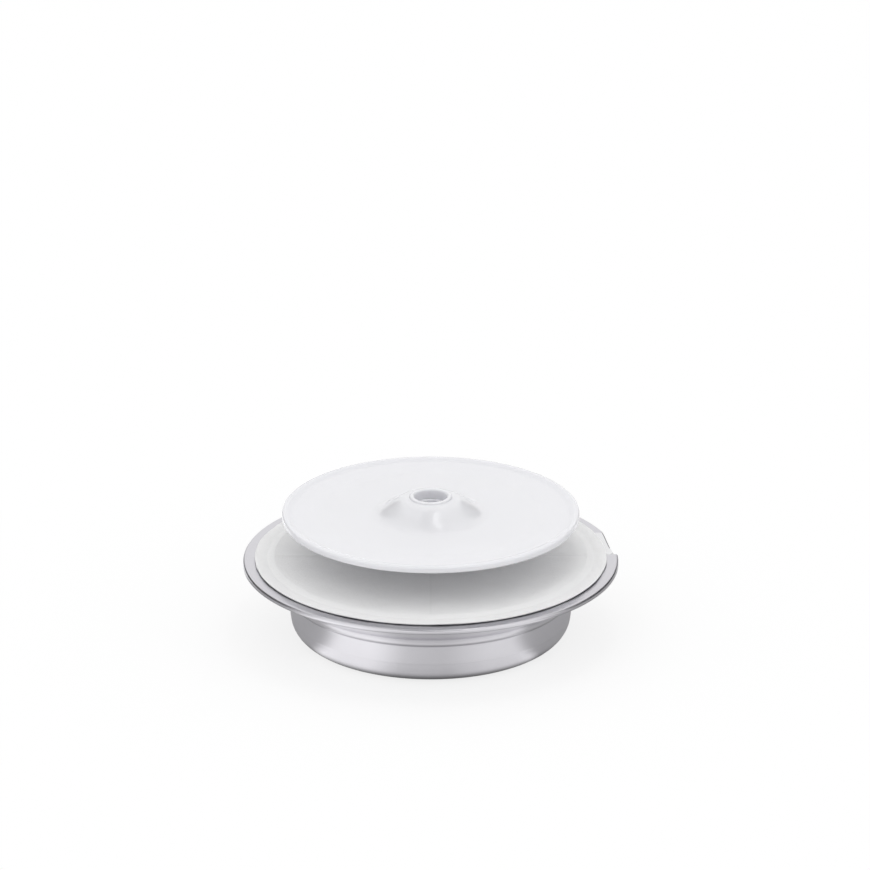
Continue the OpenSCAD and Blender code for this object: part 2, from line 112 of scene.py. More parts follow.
class Cell(Enum):
    """What the distance in a pattern of cells is measured to."""

    MIDDLE = "F1"
    EDGE = "DISTANCE_TO_EDGE"


# ---- shader maths ---------------------------------------------------------------------------
class Value:
    """An output socket of a node tree that takes part in Python arithmetic."""

    def __init__(self, graph: Graph, socket: bpy.types.NodeSocket) -> None:
        """Wraps a socket.

        Args:
            graph: the tree that the socket belongs to.
            socket: the output socket.
        """
        self.graph = graph
        self.socket = socket

    def _maths(self, operation: str, first: Value | float, second: Value | float = 0.0) -> Value:
        """Adds a Math node.

        Args:
            operation: the node's operation.
            first: its first input.
            second: its second input.

        Returns:
            The node's output.
        """
        return self.graph.add("ShaderNodeMath", {"operation": operation}, {0: first, 1: second})

    def __add__(self, other: Value | float) -> Value:
        """The sum of two values."""
        return self._maths("ADD", self, other)

    __radd__ = __add__

    def __mul__(self, other: Value | float) -> Value:
        """The product of two values."""
        return self._maths("MULTIPLY", self, other)

    __rmul__ = __mul__

    def __sub__(self, other: Value | float) -> Value:
        """This value less another."""
        return self._maths("SUBTRACT", self, other)

    def __rsub__(self, other: Value | float) -> Value:
        """Another value less this one."""
        return self._maths("SUBTRACT", other, self)

    def __truediv__(self, other: Value | float) -> Value:
        """This value over another."""
        return self._maths("DIVIDE", self, other)

    def __pow__(self, other: Value | float) -> Value:
        """This value to a power."""
        return self._maths("POWER", self, other)

    def __abs__(self) -> Value:
        """The value without its sign."""
        return self._maths("ABSOLUTE", self)

    def either(self, other: Value | float) -> Value:
        """The larger of two values."""
        return self._maths("MAXIMUM", self, other)

    def sine(self) -> Value:
        """The sine of this value."""
        return self._maths("SINE", self)

    def over(self, low: float, high: float) -> Value:
        """A smooth step.

        Args:
            low: where the step leaves 0.
            high: where it reaches 1, which may be below low.

        Returns:
            0 at low, 1 at high and beyond.
        """
        settings = {"interpolation_type": "SMOOTHSTEP"}
        return self.graph.add(
            "ShaderNodeMapRange", settings, {"Value": self, "From Min": low, "From Max": high}
        )


class Graph:
    """A node tree that is being built."""

    def __init__(self, tree: bpy.types.NodeTree) -> None:
        """Empties a tree and keeps it.

        Args:
            tree: the material's or world's node tree.
        """
        self.tree = tree
        tree.nodes.clear()

    def add(
        self,
        kind: str,
        settings: dict[str, object] | None = None,
        sockets: dict[str | int, object] | None = None,
        out: str | int = 0,
    ) -> Value:
        """Adds one node.

        Args:
            kind: the node's type.
            settings: its properties; stops is a list of (place, colour) for a colour ramp.
            sockets: values or links of its inputs.
            out: which output to return.

        Returns:
            The chosen output.
        """
        node = self.tree.nodes.new(kind)
        for name, value in (settings or {}).items():
            if name == "stops":
                self._set_stops(node.color_ramp.elements, value)
            else:
                setattr(node, name, value)
        for name, value in (sockets or {}).items():
            if isinstance(value, Value):
                self.tree.links.new(value.socket, node.inputs[name])
            elif isinstance(value, tuple) and len(value) == 3 and node.inputs[name].type == "RGBA":
                node.inputs[name].default_value = (*value, 1.0)
            else:
                node.inputs[name].default_value = value
        return Value(self, node.outputs[out] if node.outputs else node.inputs[0])

    @staticmethod
    def _set_stops(elements: bpy.types.ColorRampElements, stops: list) -> None:
        """Writes a colour ramp's stops.

        Args:
            elements: the ramp's elements.
            stops: (place, colour) pairs, the lowest first.
        """
        while len(elements) < len(stops):
            elements.new(1.0)
        for element, (place, colour) in zip(elements, stops):
            element.position = place
            element.color = (*colour, 1.0)

    def place(self) -> Value:
        """The surface point in the frame's coordinates."""
        return self.add("ShaderNodeTexCoord", out="Object")

    def split(self, vector: Value) -> tuple[Value, Value, Value]:
        """A vector's three parts.

        Args:
            vector: the vector.

        Returns:
            Its x, y and z.
        """
        node = self.tree.nodes.new("ShaderNodeSeparateXYZ")
        self.tree.links.new(vector.socket, node.inputs[0])
        return tuple(Value(self, out) for out in node.outputs)

    @staticmethod
    def from_axis(x: Value, y: Value) -> Value:
        """How far a point is from the Z axis."""
        return (x * x + y * y) ** 0.5

    def join(self, x: Value | float, y: Value | float, z: Value | float) -> Value:
        """A vector of three parts."""
        return self.add("ShaderNodeCombineXYZ", None, {0: x, 1: y, 2: z})

    def noise(self, at: Value, scale: float, detail: float = 3.0, rough: float = 0.5) -> Value:
        """Noise from 0 to 1.

        Args:
            at: the point.
            scale: features per metre.
            detail: octaves.
            rough: how strong the fine octaves are.

        Returns:
            The noise.
        """
        sockets = {"Vector": at, "Scale": scale, "Detail": detail, "Roughness": rough}
        return self.add("ShaderNodeTexNoise", {"noise_dimensions": "3D"}, sockets, "Fac")

    def cells(self, at: Value, scale: float, to: Cell) -> Value:
        """A pattern of cells.

        Args:
            at: the point.
            scale: cells per metre.
            to: what the distance is measured to.

        Returns:
            The distance to the nearest one, where 1 is the size of a cell.
        """
        sockets = {"Vector": at, "Scale": scale}
        return self.add("ShaderNodeTexVoronoi", {"feature": to.value}, sockets, "Distance")

    def blend(self, amount: Value | float, first: Colour, second: Colour) -> Value:
        """A colour between two.

        Args:
            amount: 0 for the first, 1 for the second.
            first: the first colour.
            second: the second colour.

        Returns:
            The mixed colour.
        """
        one, other = MIX_COLOURS
        sockets = {MIX_SHARE: amount, one: (*first, 1.0), other: (*second, 1.0)}
        return self.add("ShaderNodeMix", {"data_type": "RGBA"}, sockets, MIX_COLOUR_OUT)

    def swayed(self, at: Value, scale: float, share: float) -> Value:
        """A point that noise moves a little.

        Args:
            at: the point.
            scale: features of the noise per metre.
            share: how much of the noise is mixed in.

        Returns:
            The moved point.
        """
        sway = self.add("ShaderNodeTexNoise", None, {"Vector": at, "Scale": scale}, "Color")
        still, moved = MIX_VECTORS
        sockets = {MIX_SHARE: share, still: at, moved: sway}
        return self.add("ShaderNodeMix", {"data_type": "VECTOR"}, sockets, MIX_VECTOR_OUT)

    def bump(self, height: Value, depth: float, under: Value | None = None) -> Value:
        """A bumped normal.

        Args:
            height: the relief, from 0 to 1.
            depth: what 1 means, in metres.
            under: a normal that this one is laid over.

        Returns:
            The normal.
        """
        sockets = {"Height": height, "Strength": 1.0, "Distance": depth}
        if under:
            sockets["Normal"] = under
        return self.add("ShaderNodeBump", None, sockets, "Normal")


def new_material(name: str) -> tuple[bpy.types.Material, Graph]:
    """Makes an empty material.

    Args:
        name: its name.

    Returns:
        The material and its node tree.
    """
    material = bpy.data.materials.new(name)
    material.use_nodes = True
    return material, Graph(material.node_tree)


def toned(colour: Colour, share: float, added: float = 0.0) -> Colour:
    """A colour times a share and a little added, no lighter than white."""
    return tuple(min(1.0, part * share + added) for part in colour)


# ---- finishes -------------------------------------------------------------------------------
@dataclass(frozen=True)
class Finish(ABC):
    """A surface finish that makes one material.

    Scales are features per metre and depths are metres, in every finish.
    """

    name: str
    colour: Colour
    roughness: float

    def material(self) -> bpy.types.Material:
        """The finish's material, made on its first use.

        Returns:
            The material.
        """
        made = bpy.data.materials.get(self.name)
        if made:
            return made
        made, graph = new_material(self.name)
        made.diffuse_color = (*self.colour, 1.0)
        shader = graph.add(
            "ShaderNodeBsdfPrincipled",
            None,
            {"Base Color": self.colour, "Roughness": self.roughness, **self.constants()},
        )
        inputs = shader.socket.node.inputs
        for name, value in self.varying(graph, graph.place()).items():
            made.node_tree.links.new(value.socket, inputs[name])
        graph.add("ShaderNodeOutputMaterial", None, {"Surface": shader})
        return made

    def constants(self) -> dict[str, object]:
        """Shader inputs that are the same all over the surface."""
        return {}

    @abstractmethod
    def varying(self, graph: Graph, at: Value) -> dict[str, Value]:
        """Shader inputs that change over the surface.

        Args:
            graph: the material's tree.
            at: the surface point.

        Returns:
            A value for each such input.
        """


@dataclass(frozen=True)
class PaintedShadeBand:
    """A stretch of height where painted shade darkens the steel, in millimetres, and by what share.
    """

    height: float
    half_width: float
    share: float


@dataclass(frozen=True)
class TurnedSteel(Finish):
    """Stainless steel with the fine round marks of spinning and polishing."""

    marks: float = 1500.0
    mark_depth: float = 0.4e-6
    ripple: float = 6e-6
    haze: float = 0.03
    painted_shade_bands: tuple[PaintedShadeBand, ...] = ()
    drift: float = 0.01
    ripple_scale: float = 18.0
    haze_scale: float = 35.0
    haze_share: float = 0.2
    fresh: float = 1.04
    # Share of the colour at its darkest, which haze and painted shade blend towards
    dull_and_shade: float = 0.54

    def constants(self) -> dict[str, object]:
        """Bare metal."""
        return {"Metallic": 1.0, "Specular IOR Level": 0.5}

    def varying(self, graph: Graph, at: Value) -> dict[str, Value]:
        """Round marks that drift a little around the piece, a slow ripple, haze and painted shade.

        Args:
            graph: the material's tree.
            at: the surface point.

        Returns:
            A value for each such input.
        """
        x, y, z = graph.split(at)
        around = graph.join(graph.from_axis(x, y), z, (x + y) * self.drift)
        rings = graph.noise(around, self.marks, detail=4.0, rough=0.7)
        haze = graph.noise(at, self.haze_scale, detail=4.0, rough=0.6)
        ripple = graph.bump(graph.noise(at, self.ripple_scale, detail=1.0), self.ripple)
        # The steel's own haze, then painted shade in stretches of height, darken the colour
        dulled = haze * self.haze_share
        for band in self.painted_shade_bands:
            off = abs(z - band.height * MM)
            dulled = dulled.either(off.over(band.half_width * MM, 0.0) * band.share)
        fresh, dull_and_shade = toned(self.colour, self.fresh), toned(self.colour, self.dull_and_shade)
        return {
            "Base Color": graph.blend(dulled, fresh, dull_and_shade),
            "Roughness": self.roughness + (haze - 0.5) * self.haze + (rings - 0.5) * self.haze,
            "Normal": graph.bump(rings, self.mark_depth, ripple),
        }


@dataclass(frozen=True)
class MouldedPlastic(Finish):
    """Injection-moulded plastic with a faint grain and handling marks."""

    grain: float = 900.0
    grain_depth: float = 3e-6
    flow_depth: float = 2e-5
    patchiness: float = 0.04
    through: float = 0.0
    coat: float = 0.0
    light_reach: float = 0.004
    patch_scale: float = 22.0
    flow_scale: float = 28.0
    patch_gloss: float = 0.08
    grain_gloss: float = 0.06

    def constants(self) -> dict[str, object]:
        """Plastic that lets some light in, with a clear skin where it is glossy.

        Returns:
            The inputs' values by name.
        """
        return {
            "IOR": 1.5,
            "Subsurface Weight": self.through,
            "Subsurface Radius": (self.light_reach,) * 3,
            "Subsurface Scale": 1.0,
            "Coat Weight": self.coat,
            "Coat Roughness": 0.05,
        }

    def varying(self, graph: Graph, at: Value) -> dict[str, Value]:
        """Colour and gloss that drift a little, over a fine grain.

        Args:
            graph: the material's tree.
            at: the surface point.

        Returns:
            A value for each such input.
        """
        patch = graph.noise(at, self.patch_scale, detail=3.0, rough=0.55)
        grain = graph.noise(at, self.grain, detail=2.0)
        flow = graph.noise(at, self.flow_scale, detail=1.0)
        deep = toned(self.colour, 1 - self.patchiness)
        dulled = (patch - 0.5) * self.patch_gloss
        return {
            "Base Color": graph.blend(patch, self.colour, deep),
            "Roughness": self.roughness + dulled + (grain - 0.5) * self.grain_gloss,
            "Normal": graph.bump(grain, self.grain_depth, graph.bump(flow, self.flow_depth)),
        }


@dataclass(frozen=True)
class FrostedPlastic(MouldedPlastic):
    """Frosted plastic that light comes through."""

    clear: float = 0.35

    def constants(self) -> dict[str, object]:
        """As moulded plastic, and partly see-through."""
        return {**super().constants(), "Transmission Weight": self.clear}


@dataclass(frozen=True)
class Nonwoven(Finish):
    """Felted white fibre cloth, with a few thicker tufts."""

    fibre: float = 2600.0
    tuft: float = 420.0
    fibre_depth: float = 1.2e-4
    tuft_depth: float = 2.5e-4
    sway: float = 0.006
    sway_scale: float = 300.0
    patch_scale: float = 60.0
    deep: float = 0.93
    tuft_share: float = 0.4
    shade_step: tuple[float, float] = (0.35, 0.7)
    tuft_gloss: float = 0.08
    fibre_edge: float = 0.5

    def constants(self) -> dict[str, object]:
        """A soft sheen over a dull cloth."""
        return {"Sheen Weight": 0.25, "Sheen Roughness": 0.6, "Specular IOR Level": 0.25}

    def shaded(self, graph: Graph, at: Value, uneven: Value) -> Value:
        """How deep the cloth's white is, from 0 to 1.

        Args:
            graph: the material's tree.
            at: the surface point.
            uneven: the cloth's own uneven shade.

        Returns:
            The shade.
        """
        return uneven

    def varying(self, graph: Graph, at: Value) -> dict[str, Value]:
        """Fibres that run every way, tufts, and slightly uneven white.

        Args:
            graph: the material's tree.
            at: the surface point.

        Returns:
            A value for each such input.
        """
        bent = graph.swayed(at, self.sway_scale, self.sway)
        fibres = graph.cells(bent, self.fibre, Cell.EDGE)
        tufts = graph.noise(at, self.tuft, detail=5.0, rough=0.65)
        shade = graph.noise(at, self.patch_scale, detail=5.0, rough=0.6)
        deep = toned(self.colour, self.deep)
        soft = graph.bump(tufts, self.tuft_depth)
        mixed = shade * (1 - self.tuft_share) + tufts * self.tuft_share
        uneven = mixed.over(*self.shade_step)
        return {
            "Base Color": graph.blend(self.shaded(graph, at, uneven), self.colour, deep),
            "Roughness": self.roughness - tufts * self.tuft_gloss,
            "Normal": graph.bump(fibres.over(0.0, self.fibre_edge), self.fibre_depth, soft),
        }


@dataclass(frozen=True)
class WeldedNonwovenPaintedShade(Nonwoven):
    """The disc filter's top cloth, pressed thin along a cross and a ring, with painted shade along
    them.

    The lines' lengths are millimetres.
    """

    ring: float = WELD_RING
    ring_line: float = 1.8
    cross_line: float = 1.5
    cross_end: float = 116.0
    fade_in: float = 2.0
    fade_out: float = 4.0
    # How much the painted shade of the lines weighs against the cloth's own uneven white
    share: float = 0.55

    def shaded(self, graph: Graph, at: Value, uneven: Value) -> Value:
        """Adds painted shade along the pressed lines to the cloth's uneven shade.

        Args:
            graph: the material's tree.
            at: the surface point.
            uneven: the cloth's own uneven shade.

        Returns:
            The shade.
        """
        x, y, _ = graph.split(at)
        radius = graph.from_axis(x, y)
        wide, ring, end = self.cross_line * MM, self.ring * MM, self.cross_end * MM
        cross = abs(x).over(wide, 0.0).either(abs(y).over(wide, 0.0))
        cross = cross * radius.over(ring, ring + self.fade_in * MM)
        cross = cross * radius.over(end, end - self.fade_out * MM)
        around = abs(radius - ring).over(self.ring_line * MM, 0.0)
        # The cross and the ring are painted darker, as shade in the pressed lines
        return uneven * (1 - self.share) + cross.either(around) * self.share


@dataclass(frozen=True)
class Granules(Finish):
    """A bed of loose grains or beads."""

    second: Colour = (0.5, 0.5, 0.5)
    size: float = 700.0
    relief: float = 6e-4
    shade_size: float = 0.8
    shade_step: tuple[float, float] = (0.35, 0.65)
    gap_gloss: float = 0.2
    grain_edge: float = 0.7

    def varying(self, graph: Graph, at: Value) -> dict[str, Value]:
        """Each grain stands proud and has its own shade.

        Args:
            graph: the material's tree.
            at: the surface point.

        Returns:
            A value for each such input.
        """
        grain = graph.cells(at, self.size, Cell.MIDDLE)
        shade = graph.noise(at, self.size * self.shade_size, detail=2.0)
        shaded = shade.over(*self.shade_step)
        return {
            "Base Color": graph.blend(shaded, self.colour, self.second),
            "Roughness": self.roughness + grain * self.gap_gloss,
            "Normal": graph.bump(1 - grain.over(0.0, self.grain_edge), self.relief),
        }


@dataclass(frozen=True)
class Banded(Finish):
    """Thin layers along the axis, such as steel laminations or turns of enamelled wire."""

    second: Colour = (0.2, 0.2, 0.2)
    pitch: float = 0.5
    relief: float = 1e-4
    wobble: float = 8e-5
    wobble_scale: float = 300.0
    groove_edge: float = 0.6
    groove_gloss: float = 0.15

    def constants(self) -> dict[str, object]:
        """Metal."""
        return {"Metallic": 1.0}

    def varying(self, graph: Graph, at: Value) -> dict[str, Value]:
        """One ridge for each layer, pitch millimetres apart.

        Args:
            graph: the material's tree.
            at: the surface point.

        Returns:
            A value for each such input.
        """
        _, _, z = graph.split(at)
        along = z + graph.noise(at, self.wobble_scale, detail=2.0) * self.wobble
        ridge = (along * (TURN / (self.pitch * MM))).sine() * 0.5 + 0.5
        shaded = ridge.over(0.0, self.groove_edge)
        return {
            "Base Color": graph.blend(shaded, self.second, self.colour),
            "Roughness": self.roughness + (1 - ridge) * self.groove_gloss,
            "Normal": graph.bump(ridge, self.relief),
        }


@dataclass(frozen=True)
class Rubber(Finish):
    """Soft rubber with a dusty bloom."""

    bloom: float = 0.08
    bloom_scale: float = 120.0
    skin: float = 1600.0
    skin_depth: float = 1.5e-5
    bloom_step: tuple[float, float] = (0.45, 0.8)
    bloom_gloss: float = 0.15

    def constants(self) -> dict[str, object]:
        """A weak highlight."""
        return {"Specular IOR Level": 0.35}

    def varying(self, graph: Graph, at: Value) -> dict[str, Value]:
        """Bloom in patches over a pebbled skin.

        Args:
            graph: the material's tree.
            at: the surface point.

        Returns:
            A value for each such input.
        """
        patch = graph.noise(at, self.bloom_scale, detail=4.0, rough=0.6)
        skin = graph.noise(at, self.skin, detail=2.0)
        pale = toned(self.colour, 1.0, self.bloom)
        return {
            "Base Color": graph.blend(patch.over(*self.bloom_step), self.colour, pale),
            "Roughness": self.roughness + (patch - 0.5) * self.bloom_gloss,
            "Normal": graph.bump(skin, self.skin_depth),
        }


MIRROR = TurnedSteel(
    "steel_mirror", (0.80, 0.80, 0.81), 0.075, marks=1100.0, mark_depth=0.25e-6, ripple=2.5e-5
)
SATIN = TurnedSteel(
    "steel_satin",
    (0.74, 0.73, 0.765),
    0.33,
    marks=2600.0,
    mark_depth=1.6e-6,
    ripple=8e-6,
    haze=0.08,
    # Painted shade in three stretches: along the upper bead's crease, over the foot where the bowl
    # stands on the floor, and faintly at the rim's top
    painted_shade_bands=(PaintedShadeBand(33.1, 2.4, 0.75), PaintedShadeBand(0.0, 9.0, 0.8), PaintedShadeBand(59.5, 0.9, 0.3)),
)
SHAFT_STEEL = TurnedSteel(
    "shaft_ground", (0.72, 0.72, 0.74), 0.18, marks=4000.0, mark_depth=5e-7, ripple=1e-6
)

# Moulded plastics: name, colour, roughness, grain, grain depth, flow depth, patchiness
PLATE_WHITE = MouldedPlastic(
    "plate_white", (0.77, 0.77, 0.795), 0.22, 700.0, 1e-6, 1.2e-5, 0.015, through=0.6, coat=0.25
)
STEM_WHITE = MouldedPlastic(
    "stem_white", (0.83, 0.83, 0.87), 0.36, 900.0, 4e-6, 1.5e-5, 0.03, through=0.5
)
COVER_WHITE = MouldedPlastic("cover_white", (0.83, 0.83, 0.865), 0.42, 1000.0, 6e-6, 2e-5, 0.03)
TUBE_GREY = FrostedPlastic("tube_frosted", (0.88, 0.88, 0.905), 0.45, 1400.0, 8e-6, 1e-5, 0.03)
PUMP_DARK = MouldedPlastic("pump_dark", (0.055, 0.057, 0.062), 0.5, 1500.0, 1.5e-5, 1e-5, 0.15)
INLET_DARK = MouldedPlastic("inlet_dark", (0.07, 0.072, 0.078), 0.5, 1500.0, 1.5e-5, 1e-5, 0.15)
CAN_BLACK = MouldedPlastic("can_black", (0.09, 0.09, 0.1), 0.4, 1200.0, 1e-5, 1e-5, 0.1)
BOARD_GREEN = MouldedPlastic("board_green", (0.02, 0.16, 0.06), 0.35, 2200.0, 2e-5, 1e-5, 0.3)
POTTING = MouldedPlastic("potting_black", (0.02, 0.02, 0.024), 0.2, 300.0, 1e-5, 6e-5, 0.2)
IVORY = MouldedPlastic("impeller_ivory", (0.66, 0.66, 0.68), 0.35, 900.0, 4e-6, 1e-5, 0.05)

# The top cloth, with painted shade along its pressed lines
FELT = WeldedNonwovenPaintedShade("filter_nonwoven", (0.965, 0.965, 0.965), 0.92)
# A darker copy of the filter's cloth for its side and underside: painted shade
FELT_SIDE_PAINTED_SHADE = Nonwoven("filter_nonwoven_side_painted_shade", (0.84, 0.84, 0.87), 0.92)
COTTON = Nonwoven("cotton_wadding", (0.86, 0.86, 0.83), 0.95, 1500.0, 200.0, 3e-4, 8e-4)

# Rubbers: name, colour, roughness, bloom
SEAL_BLACK = Rubber("seal_black", (0.03, 0.03, 0.032), 0.6, 0.04)
SHELL_SEAL_BLACK = Rubber("shell_seal_black", (0.025, 0.025, 0.025), 0.55, 0.03)
BUSH_BLACK = Rubber("bush_black", (0.03, 0.03, 0.03), 0.5, 0.03)
GLAND_BLACK = Rubber("gland_black", (0.035, 0.035, 0.038), 0.55, 0.04)
FOOT_GREY = Rubber("foot_grey", (0.4, 0.4, 0.42), 0.45, 0.08)

# Beds and layers: name, colour, roughness, second colour, then grains per metre or pitch
CARBON = Granules("carbon_grains", (0.02, 0.02, 0.022), 0.55, (0.05, 0.05, 0.055), 900.0)
RESIN = Granules("resin_beads", (0.66, 0.42, 0.15), 0.3, (0.45, 0.24, 0.07), 1300.0, 4e-4)
FERRITE = Granules("ferrite", (0.09, 0.09, 0.095), 0.5, (0.13, 0.13, 0.135), 3000.0, 3e-5)
LAMINATIONS = Banded("core_laminations", (0.42, 0.42, 0.44), 0.4, (0.2, 0.19, 0.18))
COPPER = Banded("copper_wire", (0.72, 0.32, 0.14), 0.3, (0.3, 0.1, 0.04), 0.35)

NODE_FINISHES: dict[str, Finish] = {
    "tube_seal": SEAL_BLACK,
    "cotton_pad": COTTON,
    "carbon_bed": CARBON,
    "resin_bed": RESIN,
    "inlet_cover": INLET_DARK,
    "shell_seal": SHELL_SEAL_BLACK,
    "motor_can": CAN_BLACK,
    "stator_core": LAMINATIONS,
    "stator_coils": COPPER,
    "driver_board": BOARD_GREEN,
    "potting": POTTING,
    "motor_shaft": SHAFT_STEEL,
    "upper_bush": BUSH_BLACK,
    "lower_bush": BUSH_BLACK,
    "rotor_magnet": FERRITE,
    "impeller": IVORY,
    "suction_feet": FOOT_GREY,
}


# ---- turned meshes --------------------------------------------------------------------------
@dataclass(frozen=True)
class Corner:
    """A corner of a turned outline, in millimetres, with the radius that rounds it."""

    radius: float
    height: float
    rounding: float = 0.0


class Turning:
    """A mesh turned around +Z from an outline of corners."""

    # Fewest and most steps of a rounded corner, and how long a step is, in millimetres
    ROUND_STEPS = (3, 14)
    ROUND_SPACING = 1.1

    def __init__(self, corners: Sequence[Corner], closed: bool, spacing: float) -> None:
        """Draws the outline in the XZ plane.

        Args:
            corners: the outline's corners in order.
            closed: whether the last corner joins the first.
            spacing: the longest edge along the outline, in millimetres.
        """
        self.bm = bmesh.new()
        verts = [self.bm.verts.new((c.radius * MM, 0.0, c.height * MM)) for c in corners]
        pairs = list(zip(verts, verts[1:])) + ([(verts[-1], verts[0])] if closed else [])
        for pair in pairs:
            self.bm.edges.new(pair)
        for corner, vert in zip(corners, verts):
            if corner.rounding:
                self._round(vert, corner.rounding)
        self._refine(spacing)

    def _round(self, vert: bmesh.types.BMVert, radius: float) -> None:
        """Rounds one corner of the outline.

        Args:
            vert: the corner.
            radius: the rounding, in millimetres.
        """
        first, second = (edge.other_vert(vert).co - vert.co for edge in vert.link_edges)
        angle = first.angle(second)
        fewest, most = self.ROUND_STEPS
        steps = round((math.pi - angle) * radius / self.ROUND_SPACING)
        bmesh.ops.bevel(
            self.bm,
            geom=[vert],
            offset=radius * MM / math.tan(angle / 2),
            offset_type="OFFSET",
            segments=max(fewest, min(most, steps)),
            profile=0.5,
            affect="VERTICES",
            material=-1,
        )

    def _refine(self, spacing: float) -> None:
        """Cuts long edges so that none is longer than spacing.

        Args:
            spacing: the limit, in millimetres.
        """
        groups: dict[int, list[bmesh.types.BMEdge]] = {}
        for edge in self.bm.edges:
            groups.setdefault(int(edge.calc_length() / (spacing * MM)), []).append(edge)
        for cuts, edges in groups.items():
            if cuts:
                bmesh.ops.subdivide_edges(self.bm, edges=edges, cuts=cuts)

    def spin(self, steps: int, dense: tuple[float, float, int] | None = None) -> bmesh.types.BMesh:
        """Turns the outline a full turn and closes the seam and the poles.

        Args:
            steps: how many steps the turn has, outside the dense stretch.
            dense: (middle in degrees, width in degrees, steps) of a finer stretch.

        Returns:
            The mesh.
        """
        geom: list = self.bm.verts[:] + self.bm.edges[:]
        stretches = [(TURN, steps)]
        if dense:
            middle, width, fine = dense
            start = Matrix.Rotation(math.radians(middle - width / 2), 4, "Z")
            bmesh.ops.transform(self.bm, matrix=start, verts=self.bm.verts)
            share = math.radians(width)
            stretches = [(share, fine), (TURN - share, steps)]
        for angle, count in stretches:
            made = bmesh.ops.spin(
                self.bm,
                geom=geom,
                cent=(0, 0, 0),
                axis=(0, 0, 1),
                angle=angle,
                steps=count,
                use_merge=dense is None,
            )
            geom = made["geom_last"]
        bmesh.ops.remove_doubles(self.bm, verts=self.bm.verts, dist=MERGE)
        bmesh.ops.recalc_face_normals(self.bm, faces=self.bm.faces)
        return self.bm


def polar(point: Vector) -> Polar:
    """A point's distance from the axis, its angle and its height."""
    return math.hypot(point.x, point.y) / MM, math.atan2(point.y, point.x), point.z / MM


def at_polar(radius: float, angle: float, height: float) -> Vector:
    """The point at a radius, angle and height, in metres."""
    return Vector((radius * math.cos(angle), radius * math.sin(angle), height)) * MM


def spread(first: float, last: float, steps: int) -> list[float]:
    """Values from first to last in even steps."""
    return [first + (last - first) * step / steps for step in range(steps + 1)]


def reshape(bm: bmesh.types.BMesh, move: Callable[[float, float, float], Polar]) -> None:
    """Moves every vertex by a rule in polar coordinates.

    Args:
        bm: the mesh.
        move: takes and returns radius, angle and height.
    """
    for vert in bm.verts:
        vert.co = at_polar(*move(*polar(vert.co)))


def smooth_step(value: float) -> float:
    """0 up to 0, 1 from 1, and smooth between."""
    share = max(0.0, min(1.0, value))
    return share * share * (3 - 2 * share)


def fade(past: float, width: float) -> float:
    """0 before an edge, 1 at width past it, and smooth between."""
    return smooth_step(past / width)


def smooth_low(first: float, second: float, width: float) -> float:
    """The lower of two values, with the step between them rounded over width."""
    share = max(width - abs(first - second), 0.0) / width
    return min(first, second) - share * share * width / 4


def add_object(name: str, data: bpy.types.ID) -> bpy.types.Object:
    """Puts an object into the scene.

    Args:
        name: its name.
        data: its mesh, lamp or camera data.

    Returns:
        The object.
    """
    made = bpy.data.objects.new(name, data)
    bpy.context.scene.collection.objects.link(made)
    return made


def mesh_object(
    name: str, bm: bmesh.types.BMesh, materials: Iterable[bpy.types.Material] = ()
) -> bpy.types.Object:
    """Puts a mesh into the scene.

    Args:
        name: the object's name.
        bm: the mesh, which is freed.
        materials: its materials, in the order of its material indices.

    Returns:
        The object.
    """
    mesh = bpy.data.meshes.new(name)
    bm.to_mesh(mesh)
    bm.free()
    for material in materials:
        mesh.materials.append(material)
    return add_object(name, mesh)


@dataclass
class Part(ABC):
    """A sub-assembly that makes and dresses its own pieces."""

    body: Body = field(init=False)

    @abstractmethod
    def build(self) -> list[bpy.types.Object]:
        """Makes the pieces.

        Returns:
            The finished objects.
        """

    def publish(
        self,
        bm: bmesh.types.BMesh,
        name: str,
        finishes: Sequence[Finish],
        slot: Slot,
        nodes: Sequence[str],
        crease: float = 38.0,
    ) -> bpy.types.Object:
        """Turns a mesh into a finished piece of the frame.

        Args:
            bm: the mesh, which is freed.
            name: the piece's name.
            finishes: its finishes, in the order of its material indices.
            slot: the record's material slot; not used.
            nodes: the nodes that it stands for.
            crease: edges sharper than this many degrees stay sharp.

        Returns:
            The object.
        """
        for face in bm.faces:
            face.smooth = True
        for edge in bm.edges:
            if len(edge.link_faces) == 2 and edge.calc_face_angle(0.0) > math.radians(crease):
                edge.smooth = False
        piece = mesh_object(name, bm, [finish.material() for finish in finishes])
        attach(piece, self.body.value)
        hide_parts(*nodes)
        return piece


def face_towards(bm: bmesh.types.BMesh, face: bmesh.types.BMFace, way: Vector) -> None:
    """Turns an open shell over if a face of it looks away from where it should.

    Args:
        bm: the shell.
        face: the face.
        way: where it should look.
    """
    if face.normal.dot(way) < 0:
        bmesh.ops.reverse_faces(bm, faces=bm.faces)


def thicken(piece: bpy.types.Object, wall: float, second_material: int = 0) -> None:
    """Gives a sheet its wall, under the side that its faces point to.

    Args:
        piece: the sheet.
        wall: the thickness, in millimetres.
        second_material: what is added to the material index on the far side and the edges.
    """
    solid = piece.modifiers.new("wall", "SOLIDIFY")
    solid.thickness = wall * MM
    solid.offset = -1.0
    solid.use_even_offset = True
    solid.use_quality_normals = True
    solid.material_offset = second_material
    solid.material_offset_rim = second_material


def soften(piece: bpy.types.Object, width: float, segments: int, angle: float) -> None:
    """Rounds a piece's sharp edges.

    Args:
        piece: the piece.
        width: the rounding, in millimetres.
        segments: its steps.
        angle: edges sharper than this many degrees are rounded.
    """
    bevel = piece.modifiers.new("soft_edges", "BEVEL")
    bevel.width = width * MM
    bevel.segments = segments
    bevel.limit_method = "ANGLE"
    bevel.angle_limit = math.radians(angle)


